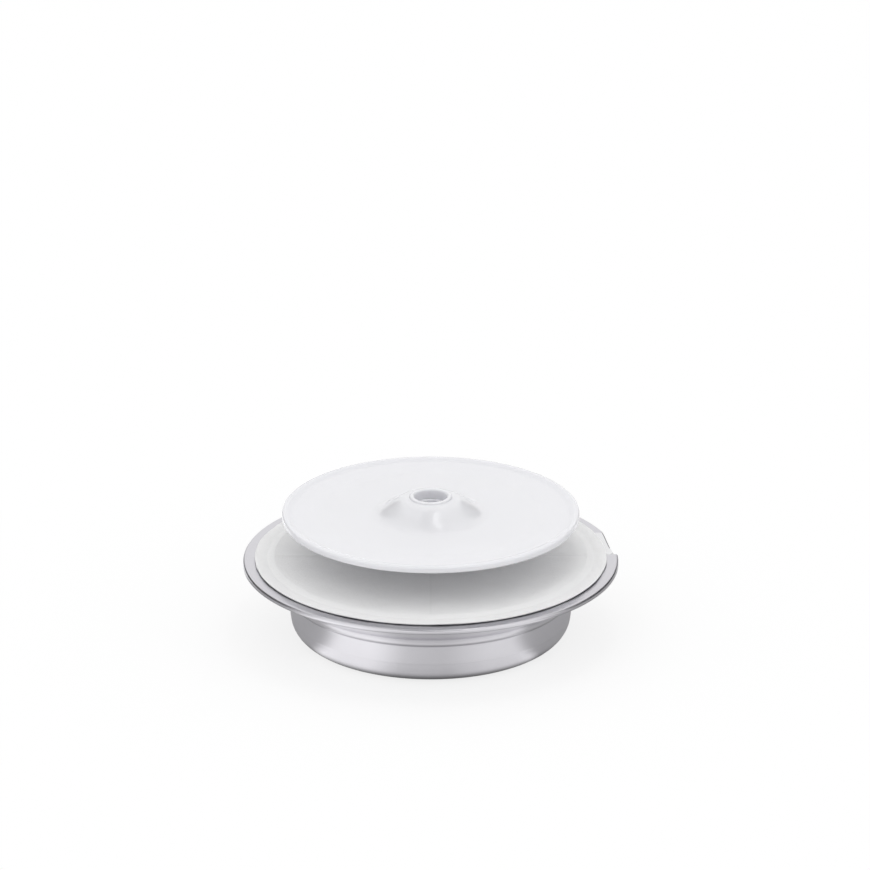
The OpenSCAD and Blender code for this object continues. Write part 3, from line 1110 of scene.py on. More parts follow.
def apply_modifiers(piece: bpy.types.Object) -> None:
    """Applies a piece's modifiers to its mesh.

    Args:
        piece: the piece.
    """
    graph = bpy.context.evaluated_depsgraph_get()
    graph.update()
    mesh = bpy.data.meshes.new_from_object(piece.evaluated_get(graph))
    old = piece.data
    piece.modifiers.clear()
    piece.data = mesh
    bpy.data.meshes.remove(old)
    mesh.name = piece.name


def drill(piece: bpy.types.Object, cutter: bmesh.types.BMesh) -> None:
    """Cuts a mesh out of a piece for good.

    Args:
        piece: the piece.
        cutter: closed solids to take away, which are freed.
    """
    tool = mesh_object("cutter", cutter)
    mesh = tool.data
    cut = piece.modifiers.new("drill", "BOOLEAN")
    cut.operation = "DIFFERENCE"
    cut.solver = "EXACT"
    cut.object = tool
    apply_modifiers(piece)
    bpy.data.objects.remove(tool)
    bpy.data.meshes.remove(mesh)


# ---- bowl -----------------------------------------------------------------------------------
@dataclass(frozen=True)
class Bead:
    """A step pressed round the bowl's lower wall: its height, and how far it stands out."""

    height: float
    proud: float

    @property
    def half(self) -> float:
        """Half the step's height."""
        return 0.5 + self.proud / 2


@dataclass
class Bowl(Part):
    """The pressed steel bowl: mirror inside, satin on its rim and outside.

    corner, platform and recess are radii. The rim is satin from satin_from outside the mouth,
    but stays a mirror where the cord's notch is pressed deeper than bright_below. The notch only
    touches what lies within notch_spread radians of its middle, further out than notch_inner and
    higher than notch_foot. The spin has fine_steps steps over fine_width degrees there.
    """

    sheet: float = 0.8
    rim_width: float = 11.4
    upper_lean: float = 14.9
    upper_height: float = 16.3
    ledge_width: float = 8.2
    ledge_height: float = 5.2
    lower_lean: float = 3.0
    edge_height: float = 3.4
    corner: float = 16.0
    beads: tuple[Bead, ...] = (Bead(17.4, 0.12), Bead(33.0, 1.1))
    bead_rounding: float = 0.7
    platform: float = 46.5
    platform_height: float = 11.6
    platform_slope: float = 3.5
    recess: float = 35.5
    recess_depth: float = 3.2
    notch_angle: float = 13.5
    notch_width: float = 42.0
    notch_depth: float = 7.0
    notch_blend: float = 3.6
    notch_spread: float = 0.5
    notch_margin: float = 4.0
    notch_inner: float = 110.0
    notch_foot: float = 45.0
    satin_from: float = 2.0
    bright_below: float = 0.6
    spacing: float = 2.4
    steps: int = 180
    fine_width: float = 27.0
    fine_steps: int = 84

    def __post_init__(self) -> None:
        """Takes the rim's size from the frame."""
        self.body = Body.BOWL
        low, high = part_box("bowl_rim")
        self.rim = (high.y - low.y) / 2 / MM
        self.top = high.z / MM
        self.mouth = self.rim - self.rim_width
        self.notch_radius = (self.notch_width**2 / 4 + self.notch_depth**2) / (2 * self.notch_depth)

    def corners(self) -> list[Corner]:
        """The water side's outline, from the axis out to the turned-down edge.

        Returns:
            The corners in order.
        """
        upper = self.mouth - self.upper_lean
        ledge_top = self.top - self.upper_height
        ledge = upper - self.ledge_width
        ledge_low = ledge_top - self.ledge_height
        floor = self.sheet
        deck = floor + self.platform_height
        slope = self.lower_lean / (ledge_low - floor)
        steps = []
        for bead in self.beads:
            wall = ledge - slope * (ledge_low - bead.height)
            steps += [
                Corner(wall + side * bead.proud, bead.height + side * bead.half, self.bead_rounding)
                for side in (-1, 1)
            ]
        return [
            Corner(0.0, deck - self.recess_depth),
            Corner(self.recess, deck - self.recess_depth, 1.8),
            Corner(self.recess + self.recess_depth, deck, 1.8),
            Corner(self.platform, deck, 2.8),
            Corner(self.platform + self.platform_slope, floor, 3.2),
            Corner(ledge - self.lower_lean - self.beads[0].proud, floor, self.corner),
            *steps,
            Corner(ledge, ledge_low, 5.0),
            Corner(upper, ledge_top, 4.0),
            Corner(self.mouth, self.top, 5.5),
            Corner(self.rim, self.top, 1.6),
            Corner(self.rim, self.top - self.edge_height),
        ]

    def notch_shift(self, radius: float, angle: float, height: float) -> float:
        """How far the cord's trough presses a point down, as a negative number.

        Args:
            radius: the point's radius.
            angle: its angle.
            height: its height.

        Returns:
            The shift.
        """
        off = math.remainder(angle - math.radians(self.notch_angle), TURN)
        across = radius * math.sin(off)
        half = self.notch_width / 2 + self.notch_margin
        beside = abs(off) > self.notch_spread or abs(across) > half
        if beside or radius < self.notch_inner or height < self.notch_foot:
            return 0.0
        below = math.sqrt(self.notch_radius**2 - across**2)
        trough = self.top - self.notch_depth + self.notch_radius - below
        surface = height if radius < self.mouth else self.top
        return min(0.0, smooth_low(surface, trough, self.notch_blend) - surface)

    def build(self) -> list[bpy.types.Object]:
        """Makes the bowl's shell.

        Returns:
            The shell, as the only piece.
        """
        fine = (self.notch_angle, self.fine_width, self.fine_steps)
        bm = Turning(self.corners(), closed=False, spacing=self.spacing).spin(self.steps, fine)
        middle = min(bm.faces, key=lambda face: face.calc_center_median().length)
        face_towards(bm, middle, Vector((0, 0, 1)))
        for face in bm.faces:
            radius, angle, height = polar(face.calc_center_median())
            pressed = self.notch_shift(radius, angle, height) <= -self.bright_below
            face.material_index = int(radius > self.mouth + self.satin_from and not pressed)
        reshape(bm, lambda r, a, z: (r, a, z + self.notch_shift(r, a, z)))
        nodes = ["bowl_floor", "bowl_wall", "bowl_rim"]
        shell = self.publish(bm, "bowl_shell", [MIRROR, SATIN], Slot.STEEL, nodes, crease=60.0)
        thicken(shell, self.sheet, 1)
        return [shell]


# ---- pump cover -----------------------------------------------------------------------------
@dataclass
class PumpCover(Part):
    """The ribbed cover with its arches, and the stem's socket on its drain deck.

    An arch is flat for arch_flat on each side of its middle, and ends at arch_reach. bore,
    deck_hole and drain are radii, and taper is how far the wall's foot leans in.
    """

    wall: float = 2.8
    edge_rounding: float = 0.45
    flute_steps: int = 16
    taper: float = 1.1
    flutes: int = 30
    flute_depth: float = 0.4
    flute_half: float = 2.3
    arches: int = 3
    arch_angle: float = 16.0
    arch_flat: float = 3.6
    arch_reach: float = 9.4
    top_arch: float = 10.5
    foot_arch: float = 12.0
    bore: float = 11.95
    socket_wall: float = 2.5
    deck_hole: float = 10.4
    deck: float = 1.6
    drains: int = 6
    drain: float = 2.0
    thread_rise: float = 0.45
    thread_fade: float = 2.0
    thread_from: float = 0.6
    thread_to: float = 1.2
    pitch: float = 5.0

    def __post_init__(self) -> None:
        """Takes the heights and radii from the frame."""
        self.body = Body.COVER
        low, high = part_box("pump_cover")
        self.low, self.high = low.z / MM, high.z / MM
        self.top_radius = high.x / MM
        socket_low, socket_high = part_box("cover_socket")
        self.socket_low, self.socket_high = socket_low.z / MM, socket_high.z / MM
        self.deck_radius = socket_high.x / MM
        self.socket = self.bore + self.socket_wall

    def arch_depth(self, across: float, deep: float) -> float:
        """How far an arch cuts into the wall's edge at a distance from its middle."""
        share = (abs(across) - self.arch_flat) / (self.arch_reach - self.arch_flat)
        return deep * (1 - smooth_step(share))

    def form(self, radius: float, angle: float, height: float) -> Polar:
        """Leans, flutes and arches the wall.

        Args:
            radius: the point's radius on the plain cylinder.
            angle: its angle.
            height: its height.

        Returns:
            The moved point.
        """
        tall = self.high - self.low
        turned = angle - math.radians(self.arch_angle)
        across = self.top_radius * math.remainder(turned, TURN / self.arches)
        top = self.high - self.arch_depth(across, self.top_arch)
        foot = self.low + self.arch_depth(across, self.foot_arch)
        height = foot + (height - self.low) / tall * (top - foot)
        lean = self.taper * (self.high - height) / tall
        off = self.top_radius * abs(math.remainder(turned, TURN / self.flutes))
        bottom = math.cos(math.pi / 2 * min(1.0, off / self.flute_half))
        return self.top_radius - lean - self.flute_depth * bottom**2, angle, height

    def build_wall(self) -> bpy.types.Object:
        """Makes the ribbed wall.

        Returns:
            The piece.
        """
        outline = [Corner(self.top_radius, self.low), Corner(self.top_radius, self.high)]
        bm = Turning(outline, closed=False, spacing=1.1).spin(self.flutes * self.flute_steps)
        first = next(iter(bm.faces))
        face_towards(bm, first, first.calc_center_median())
        reshape(bm, self.form)
        finishes, nodes = [COVER_WHITE], ["pump_cover"]
        piece = self.publish(bm, "pump_cover_wall", finishes, Slot.COVER, nodes, crease=60.0)
        thicken(piece, self.wall)
        soften(piece, self.edge_rounding, segments=3, angle=40.0)
        return piece

    def thread(self, radius: float, angle: float, height: float) -> Polar:
        """Raises the socket's inner thread.

        Args:
            radius: the point's radius.
            angle: its angle.
            height: its height.

        Returns:
            The moved point.
        """
        if abs(radius - self.bore) > ON_WALL:
            return radius, angle, height
        phase = (height - self.socket_low) / self.pitch - angle / TURN + 0.5
        ridge = max(0.0, math.cos(TURN * phase)) ** 1.5
        low = self.socket_low + self.deck + self.thread_from
        high = self.socket_high - self.thread_to
        ends = fade(height - low, self.thread_fade) * fade(high - height, self.thread_fade)
        return radius - self.thread_rise * ridge * ends, angle, height

    def build_socket(self) -> bpy.types.Object:
        """Makes the socket and its deck, and drills the deck's drains.

        Returns:
            The piece.
        """
        deck_top = self.socket_low + self.deck
        outline = [
            Corner(self.deck_hole, self.socket_low, 0.3),
            Corner(self.deck_radius, self.socket_low, 0.3),
            Corner(self.deck_radius, deck_top, 0.3),
            Corner(self.socket, deck_top, 0.8),
            Corner(self.socket, self.socket_high, 0.9),
            Corner(self.bore, self.socket_high, 0.9),
            Corner(self.bore, deck_top, 0.2),
            Corner(self.deck_hole, deck_top, 0.3),
        ]
        bm = Turning(outline, closed=True, spacing=0.7).spin(96)
        reshape(bm, self.thread)
        finishes, nodes = [COVER_WHITE], ["cover_socket"]
        piece = self.publish(bm, "stem_socket", finishes, Slot.COVER, nodes, crease=50.0)
        drills = bmesh.new()
        middle = (self.socket + self.deck_radius) / 2
        shift = Matrix.Translation(Vector((middle, 0, self.socket_low + self.deck / 2)) * MM)
        for index in range(self.drains):
            angle = math.radians(self.arch_angle) + TURN * (index + 0.5) / self.drains
            turn = Matrix.Rotation(angle, 4, "Z")
            bmesh.ops.create_cone(
                drills,
                cap_ends=True,
                segments=32,
                radius1=self.drain * MM,
                radius2=self.drain * MM,
                depth=self.deck * 4 * MM,
                matrix=turn @ shift,
            )
        drill(piece, drills)
        return piece

    def build(self) -> list[bpy.types.Object]:
        """Makes the cover's two pieces."""
        return [self.build_wall(), self.build_socket()]


# ---- spreader plate and stem ----------------------------------------------------------------
@dataclass
class SpreaderPlate(Part):
    """The glossy plate, the stem that it stands on and the stem's thread.

    nozzle, nozzle_bore, hub, spigot, bore and collar are radii, and so is thread, over its crest.
    Its flanks rise between flank_low and flank_high of a cosine wave along the pitch.
    """

    lip_height: float = 5.0
    hub_proud: float = 1.0
    thickness: float = 2.6
    dish: float = 1.8
    mound: float = 13.0
    mound_radius: float = 44.5
    nozzle: float = 16.0
    nozzle_bore: float = 12.25
    bell_steps: int = 22
    under_steps: int = 14
    hub: float = 17.05
    spigot: float = 12.85
    spigot_gap: float = 0.05
    bore: float = 10.16
    collar: float = 14.45
    collar_length: float = 37.0
    thread: float = 11.65
    thread_depth: float = 0.9
    thread_from: float = 0.8
    thread_lead: float = 1.6
    thread_to: float = 0.4
    thread_run_out: float = 1.2
    flank_low: float = -0.35
    flank_high: float = 0.55
    pitch: float = 5.0

    def __post_init__(self) -> None:
        """Takes the heights and the plate's radius from the frame."""
        self.body = Body.PLATE
        low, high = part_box("spreader_plate")
        self.plate = (high.y - low.y) / 2 / MM
        self.hub_low, self.nozzle_top = low.z / MM, high.z / MM
        stem_low, stem_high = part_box("threaded_stem")
        self.stem_low, self.stem_high = stem_low.z / MM, stem_high.z / MM
        self.shoulder = self.hub_low - self.collar_length
        self.lip_low = self.hub_low + self.hub_proud
        self.rim_top = self.lip_low + self.lip_height
        self.face = self.rim_top - self.dish

    def bell(self, radius: float) -> float:
        """Height of the mound's top side at a radius."""
        share = (radius - self.nozzle) / (self.mound_radius - self.nozzle)
        return self.face + self.mound * (1 + math.cos(math.pi * share)) / 2

    def plate_corners(self) -> list[Corner]:
        """The plate's closed outline, from the nozzle over the lip and back under the mound.

        Returns:
            The corners in order.
        """
        bell = spread(self.nozzle, self.mound_radius, self.bell_steps)
        under = spread(self.mound_radius, self.hub, self.under_steps)
        hole = self.spigot + self.spigot_gap
        return [
            Corner(self.nozzle_bore, self.stem_high),
            Corner(self.nozzle_bore, self.nozzle_top, 1.4),
            Corner(self.nozzle, self.nozzle_top, 1.3),
            *(Corner(r, self.bell(r), 0.5 if r == self.nozzle else 0.0) for r in bell),
            Corner(self.plate - 30, self.face - 0.5, 40.0),
            Corner(self.plate - 21, self.face + 0.1, 30.0),
            Corner(self.plate - 7.5, self.face + 0.3, 4.0),
            Corner(self.plate - 3.8, self.rim_top, 1.5),
            Corner(self.plate, self.rim_top, 1.6),
            Corner(self.plate, self.lip_low, 1.1),
            Corner(self.plate - 3.4, self.lip_low, 0.9),
            Corner(self.plate - 5, self.face - self.thickness, 1.2),
            *(Corner(r, self.bell(r) - self.thickness) for r in under),
            Corner(self.hub, self.hub_low, 0.7),
            Corner(hole, self.hub_low),
            Corner(hole, self.stem_high),
        ]

    def stem_corners(self) -> list[Corner]:
        """The stem's closed outline, up its outside and down its bore.

        Returns:
            The corners in order.
        """
        root = self.thread - self.thread_depth
        return [
            Corner(self.bore, self.stem_low, 0.3),
            Corner(root, self.stem_low, 0.5),
            Corner(root, self.shoulder),
            Corner(self.collar, self.shoulder, 0.8),
            Corner(self.collar, self.hub_low),
            Corner(self.spigot, self.hub_low),
            Corner(self.spigot, self.stem_high, 0.4),
            Corner(self.bore, self.stem_high, 0.4),
        ]

    def cut_thread(self, radius: float, angle: float, height: float) -> Polar:
        """Raises the right-handed thread on the stem's end.

        Args:
            radius: the point's radius.
            angle: its angle.
            height: its height.

        Returns:
            The moved point.
        """
        root = self.thread - self.thread_depth
        if abs(radius - root) > ON_WALL or height > self.shoulder:
            return radius, angle, height
        phase = (height - self.stem_low) / self.pitch - angle / TURN
        ridge = fade(math.cos(TURN * phase) - self.flank_low, self.flank_high - self.flank_low)
        lead = fade(height - self.stem_low - self.thread_from, self.thread_lead)
        run_out = fade(self.shoulder - self.thread_to - height, self.thread_run_out)
        return radius + self.thread_depth * ridge * lead * run_out, angle, height

    def build(self) -> list[bpy.types.Object]:
        """Makes the plate and the stem.

        Returns:
            The two pieces.
        """
        plate = Turning(self.plate_corners(), closed=True, spacing=4.0).spin(256)
        stem = Turning(self.stem_corners(), closed=True, spacing=0.42).spin(120)
        reshape(stem, self.cut_thread)
        pieces = (
            (plate, "plate_dish", [PLATE_WHITE], Slot.PLATE, ["spreader_plate"]),
            (stem, "plate_stem", [STEM_WHITE], Slot.STEM, ["threaded_stem"]),
        )
        return [self.publish(*piece, crease=50.0) for piece in pieces]


@dataclass
class RiserTube(Part):
    """The frosted tube that telescopes in the stem."""

    wall: float = 2.0
    rounding: float = 0.8
    groove: float = 1.1

    def __post_init__(self) -> None:
        """Takes the tube's and the seal's places from the frame."""
        self.body = Body.TUBE
        low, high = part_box("riser_tube")
        self.low, self.high, self.radius = low.z / MM, high.z / MM, high.x / MM
        seal_low, seal_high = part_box("tube_seal")
        self.seal_low, self.seal_high = seal_low.z / MM, seal_high.z / MM

    def build(self) -> list[bpy.types.Object]:
        """Makes the tube.

        Returns:
            The tube, as the only piece.
        """
        bore = self.radius - self.wall
        outline = [
            Corner(bore, self.low, self.rounding),
            Corner(self.radius, self.low, self.rounding),
            Corner(self.radius, self.seal_low),
            Corner(self.radius - self.groove, self.seal_low),
            Corner(self.radius - self.groove, self.seal_high),
            Corner(self.radius, self.seal_high),
            Corner(self.radius, self.high, self.rounding),
            Corner(bore, self.high, self.rounding),
        ]
        bm = Turning(outline, closed=True, spacing=3.0).spin(96)
        return [self.publish(bm, "tube_frosted", [TUBE_GREY], Slot.TUBE, ["riser_tube"])]


# ---- filter ---------------------------------------------------------------------------------
@dataclass
class FilterDisc(Part):
    """The soft disc filter: a puffed top sheet welded to a cup of the same cloth.

    side, bottom, pocket, hole, dimple_edge, shoulder and ring are radii. The top cloth is
    pressed down at the ring and at a cross of seams, and puffs up between them, from puff_from
    over the flange. The flange puckers in wide and fine waves, from pucker_from inside the side.
    """

    cloth: float = 1.1
    flange: float = 1.6
    side: float = 121.6
    bottom: float = 110.0
    pocket: float = 27.0
    hole: float = 15.0
    dimple_edge: float = 20.5
    shoulder: float = 26.5
    rest_gap: float = 0.3
    ring: float = WELD_RING
    ring_width: float = 1.6
    ring_depth: float = 0.5
    seam_width: float = 2.2
    seam_depth: float = 0.9
    weld_fade: float = 6.0
    lump: float = 0.5
    lump_scale: float = 0.028
    small_lump: float = 0.22
    small_lump_scale: float = 0.09
    puff_from: float = 1.0
    puff_fade: float = 1.5
    flange_rise: float = 0.35
    flange_pull: float = 0.4
    flange_fade: float = 9.0
    pucker_from: float = 2.0
    pucker_under: float = 4.0
    wide_waves: float = 6.0
    fine_waves: float = 21.0
    pucker: float = 0.5
    fine_rise: float = 0.3
    columns: int = 192

    def __post_init__(self) -> None:
        """Takes the heights and the flange's radius from the frame."""
        self.body = Body.FILTER
        low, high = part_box("filter_cup")
        self.edge = (high.y - low.y) / 2 / MM
        self.low = low.z / MM
        sheet_low, sheet_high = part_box("filter_top_sheet")
        self.crown = sheet_high.z / MM
        self.dimple = sheet_low.z / MM + self.cloth
        self.flange_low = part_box("bowl_rim")[1].z / MM + self.rest_gap

    def corners(self) -> list[Corner]:
        """The closed outline: over the top, under the flange, round the bottom and pocket.

        Returns:
            The corners in order.
        """
        top = self.flange_low + self.flange - 0.2
        return [
            Corner(self.hole, self.dimple, 0.4),
            Corner(self.dimple_edge, self.dimple + 0.8, 3.0),
            Corner(self.shoulder, self.crown, 4.0),
            Corner(self.side - 5.0, self.crown, 3.0),
            Corner(self.side + 0.6, top, 2.0),
            Corner(self.edge, top, 0.5),
            Corner(self.edge, self.flange_low, 0.5),
            Corner(self.side, self.flange_low, 1.6),
            Corner(self.side - 2.8, self.flange_low - 8.3, 9.0),
            Corner(self.bottom + 0.5, self.low, 7.0),
            Corner(self.pocket, self.low, 2.0),
            Corner(self.pocket, self.crown - self.cloth, 0.8),
            Corner(self.dimple_edge, self.dimple - 0.3, 2.0),
            Corner(self.hole, self.dimple - self.cloth, 0.4),
        ]

    def build(self) -> list[bpy.types.Object]:
        """Makes the filter.

        Returns:
            The filter, as the only piece.
        """
        bm = Turning(self.corners(), closed=True, spacing=3.6).spin(self.columns)
        for face in bm.faces:
            # Faces below the flange take the darker copy of the cloth, painted shade on the side
            face.material_index = int(face.calc_center_median().z / MM < self.flange_low + 0.4)
        reshape(bm, self.settle)
        cloths, nodes = [FELT, FELT_SIDE_PAINTED_SHADE], ["filter_top_sheet", "filter_cup"]
        piece = self.publish(bm, "filter_disc", cloths, Slot.CLOTH, nodes, crease=80.0)
        level = piece.modifiers.new("soft", "SUBSURF")
        level.levels = level.render_levels = 1
        return [piece]

    def settle(self, radius: float, angle: float, height: float) -> Polar:
        """Presses the seams and lets the cloth lie a little unevenly.

        Args:
            radius: the point's radius.
            angle: its angle.
            height: its height.

        Returns:
            The moved point.
        """
        over = height - self.flange_low
        height += fade(over - self.puff_from, self.puff_fade) * self.puff(radius, angle, height)
        past = radius - self.side + self.pucker_from
        if past > 0 and height > self.flange_low - self.pucker_under:
            wide, fine = self.wave(angle, self.wide_waves, 3), self.wave(angle, self.fine_waves, 9)
            out = fade(past, self.flange_fade)
            height += out * (self.flange_rise + wide * self.pucker + fine * self.fine_rise)
            radius += out * (wide * self.pucker + fine * self.pucker - self.flange_pull)
        return radius, angle, height

    def puff(self, radius: float, angle: float, height: float) -> float:
        """How far the top cloth stands off its flat form.

        Args:
            radius: the point's radius.
            angle: its angle.
            height: its height.

        Returns:
            The rise, which is below 0 in the welded cross and ring.
        """
        spot = at_polar(radius, angle, height) / MM
        across = radius * math.remainder(angle, math.pi / 2)
        seam = math.exp(-((across / self.seam_width) ** 2))
        ring = math.exp(-(((radius - self.ring) / self.ring_width) ** 2))
        lumps = noise.noise(spot * self.lump_scale) * self.lump
        lumps += noise.noise(spot * self.small_lump_scale + Vector((7, 3, 1))) * self.small_lump
        between = fade(radius - self.ring, self.weld_fade)
        between *= fade(self.side - 3 - radius, self.weld_fade)
        free = lumps * (1 - 0.5 * seam) - self.seam_depth * seam
        return free * between - self.ring_depth * ring

    @staticmethod
    def wave(angle: float, waves: float, row: float) -> float:
        """Noise along the flange's edge; waves sets how fine it is, and row which noise it is."""
        return noise.noise(Vector((math.cos(angle) * waves, math.sin(angle) * waves, row)))


# ---- pump -----------------------------------------------------------------------------------
@dataclass
class Pump(Part):
    """The pump's outer pieces that can be seen: its shell and its cord gland.

    spigot, outlet, gland and gland_bore are radii. A groove's flanks rise by groove_rise from
    groove_from of a cosine wave round the shell.
    """

    wall: float = 1.4
    roof: float = 2.0
    spigot: float = 7.94
    outlet: float = 6.0
    spigot_height: float = 4.6
    ribs: int = 28
    rib_depth: float = 0.45
    ribs_from: float = 3.0
    ribs_to: float = 17.0
    ribs_fade: float = 1.5
    groove_from: float = -0.2
    groove_rise: float = 0.8
    gland_angle: float = 16.0
    gland_height: float = 17.9
    gland: float = 2.8
    gland_bore: float = 1.4

    def __post_init__(self) -> None:
        """Takes the shell's place from the frame."""
        self.body = Body.PUMP
        low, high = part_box("pump_shell")
        self.low, self.top, self.radius = low.z / MM, high.z / MM, high.x / MM

    def grip(self, radius: float, angle: float, height: float) -> Polar:
        """Sinks shallow grooves between the shell's grip ribs.

        Args:
            radius: the point's radius.
            angle: its angle.
            height: its height.

        Returns:
            The moved point.
        """
        if radius < self.radius - ON_WALL:
            return radius, angle, height
        up = height - self.low
        ends = fade(up - self.ribs_from, self.ribs_fade) * fade(self.ribs_to - up, self.ribs_fade)
        groove = fade(math.cos(angle * self.ribs) - self.groove_from, self.groove_rise)
        return radius - self.rib_depth * groove * ends, angle, height

    def build_shell(self) -> bpy.types.Object:
        """Makes the shell.

        Returns:
            The piece.
        """
        deck = self.top - self.spigot_height
        outline = [
            Corner(self.outlet, self.top, 0.5),
            Corner(self.spigot, self.top, 0.5),
            Corner(self.spigot, deck, 0.8),
            Corner(self.radius, deck, 1.8),
            Corner(self.radius, self.low, 0.3),
            Corner(self.radius - self.wall, self.low, 0.2),
            Corner(self.radius - self.wall, deck - self.roof, 0.8),
            Corner(self.outlet, deck - self.roof, 0.3),
        ]
        bm = Turning(outline, closed=True, spacing=1.0).spin(self.ribs * 8)
        reshape(bm, self.grip)
        nodes = ["pump_shell"]
        return self.publish(bm, "pump_case", [PUMP_DARK], Slot.PUMP, nodes, crease=45.0)

    def build_gland(self) -> bpy.types.Object:
        """Makes the ringed rubber gland, and lays it over from the axis.

        Returns:
            The piece.
        """
        inner = self.radius - self.wall
        outline = [
            Corner(self.gland_bore, 0.0),
            Corner(self.gland, 0.0, 0.3),
            Corner(self.gland, 1.6, 0.2),
            Corner(self.gland - 0.3, 2.2, 0.2),
            Corner(self.gland - 0.1, 2.8, 0.2),
            Corner(self.gland - 0.1, 3.4, 0.2),
            Corner(self.gland - 0.7, 3.8, 0.2),
            Corner(self.gland - 0.3, 4.3, 0.2),
            Corner(self.gland - 0.4, 4.9, 0.2),
            Corner(self.gland - 0.9, 5.2, 0.2),
            Corner(self.gland - 0.75, 5.8, 0.3),
            Corner(self.gland_bore, 5.8),
        ]
        bm = Turning(outline, closed=True, spacing=0.8).spin(40)
        lay = (
            Matrix.Rotation(math.radians(self.gland_angle), 4, "Z")
            @ Matrix.Translation((inner * MM, 0, self.gland_height * MM))
            @ Matrix.Rotation(math.pi / 2, 4, "Y")
        )
        bmesh.ops.transform(bm, matrix=lay, verts=bm.verts)
        nodes = ["cord_gland"]
        return self.publish(bm, "gland_rings", [GLAND_BLACK], Slot.RUBBER, nodes, crease=50.0)

    def build(self) -> list[bpy.types.Object]:
        """Makes the shell and the gland."""
        return [self.build_shell(), self.build_gland()]


def dress_nodes(nodes: dict[str, bpy.types.Object]) -> None:
    """Gives each node that stays its own finish.

    Args:
        nodes: the frame's nodes by name.
    """
    for name, finish in NODE_FINISHES.items():
        piece = nodes[name]
        if not piece.material_slots:
            piece.data.materials.append(None)
        for place in piece.material_slots:
            place.material = finish.material()


# ---- studio ---------------------------------------------------------------------------------
@dataclass(frozen=True)
class Lamp:
    """A soft box that looks at the object."""

    name: str
    place: Point
    size: tuple[float, float]
    power: float
    mirrored: bool = False
    aim: Point = (0.0, 0.0, 0.06)


@dataclass(frozen=True)
class Flag:
    """A dark board that only reflections see, given by three of its corners in metres."""

    name: str
    corner: Point
    first: Point
    second: Point


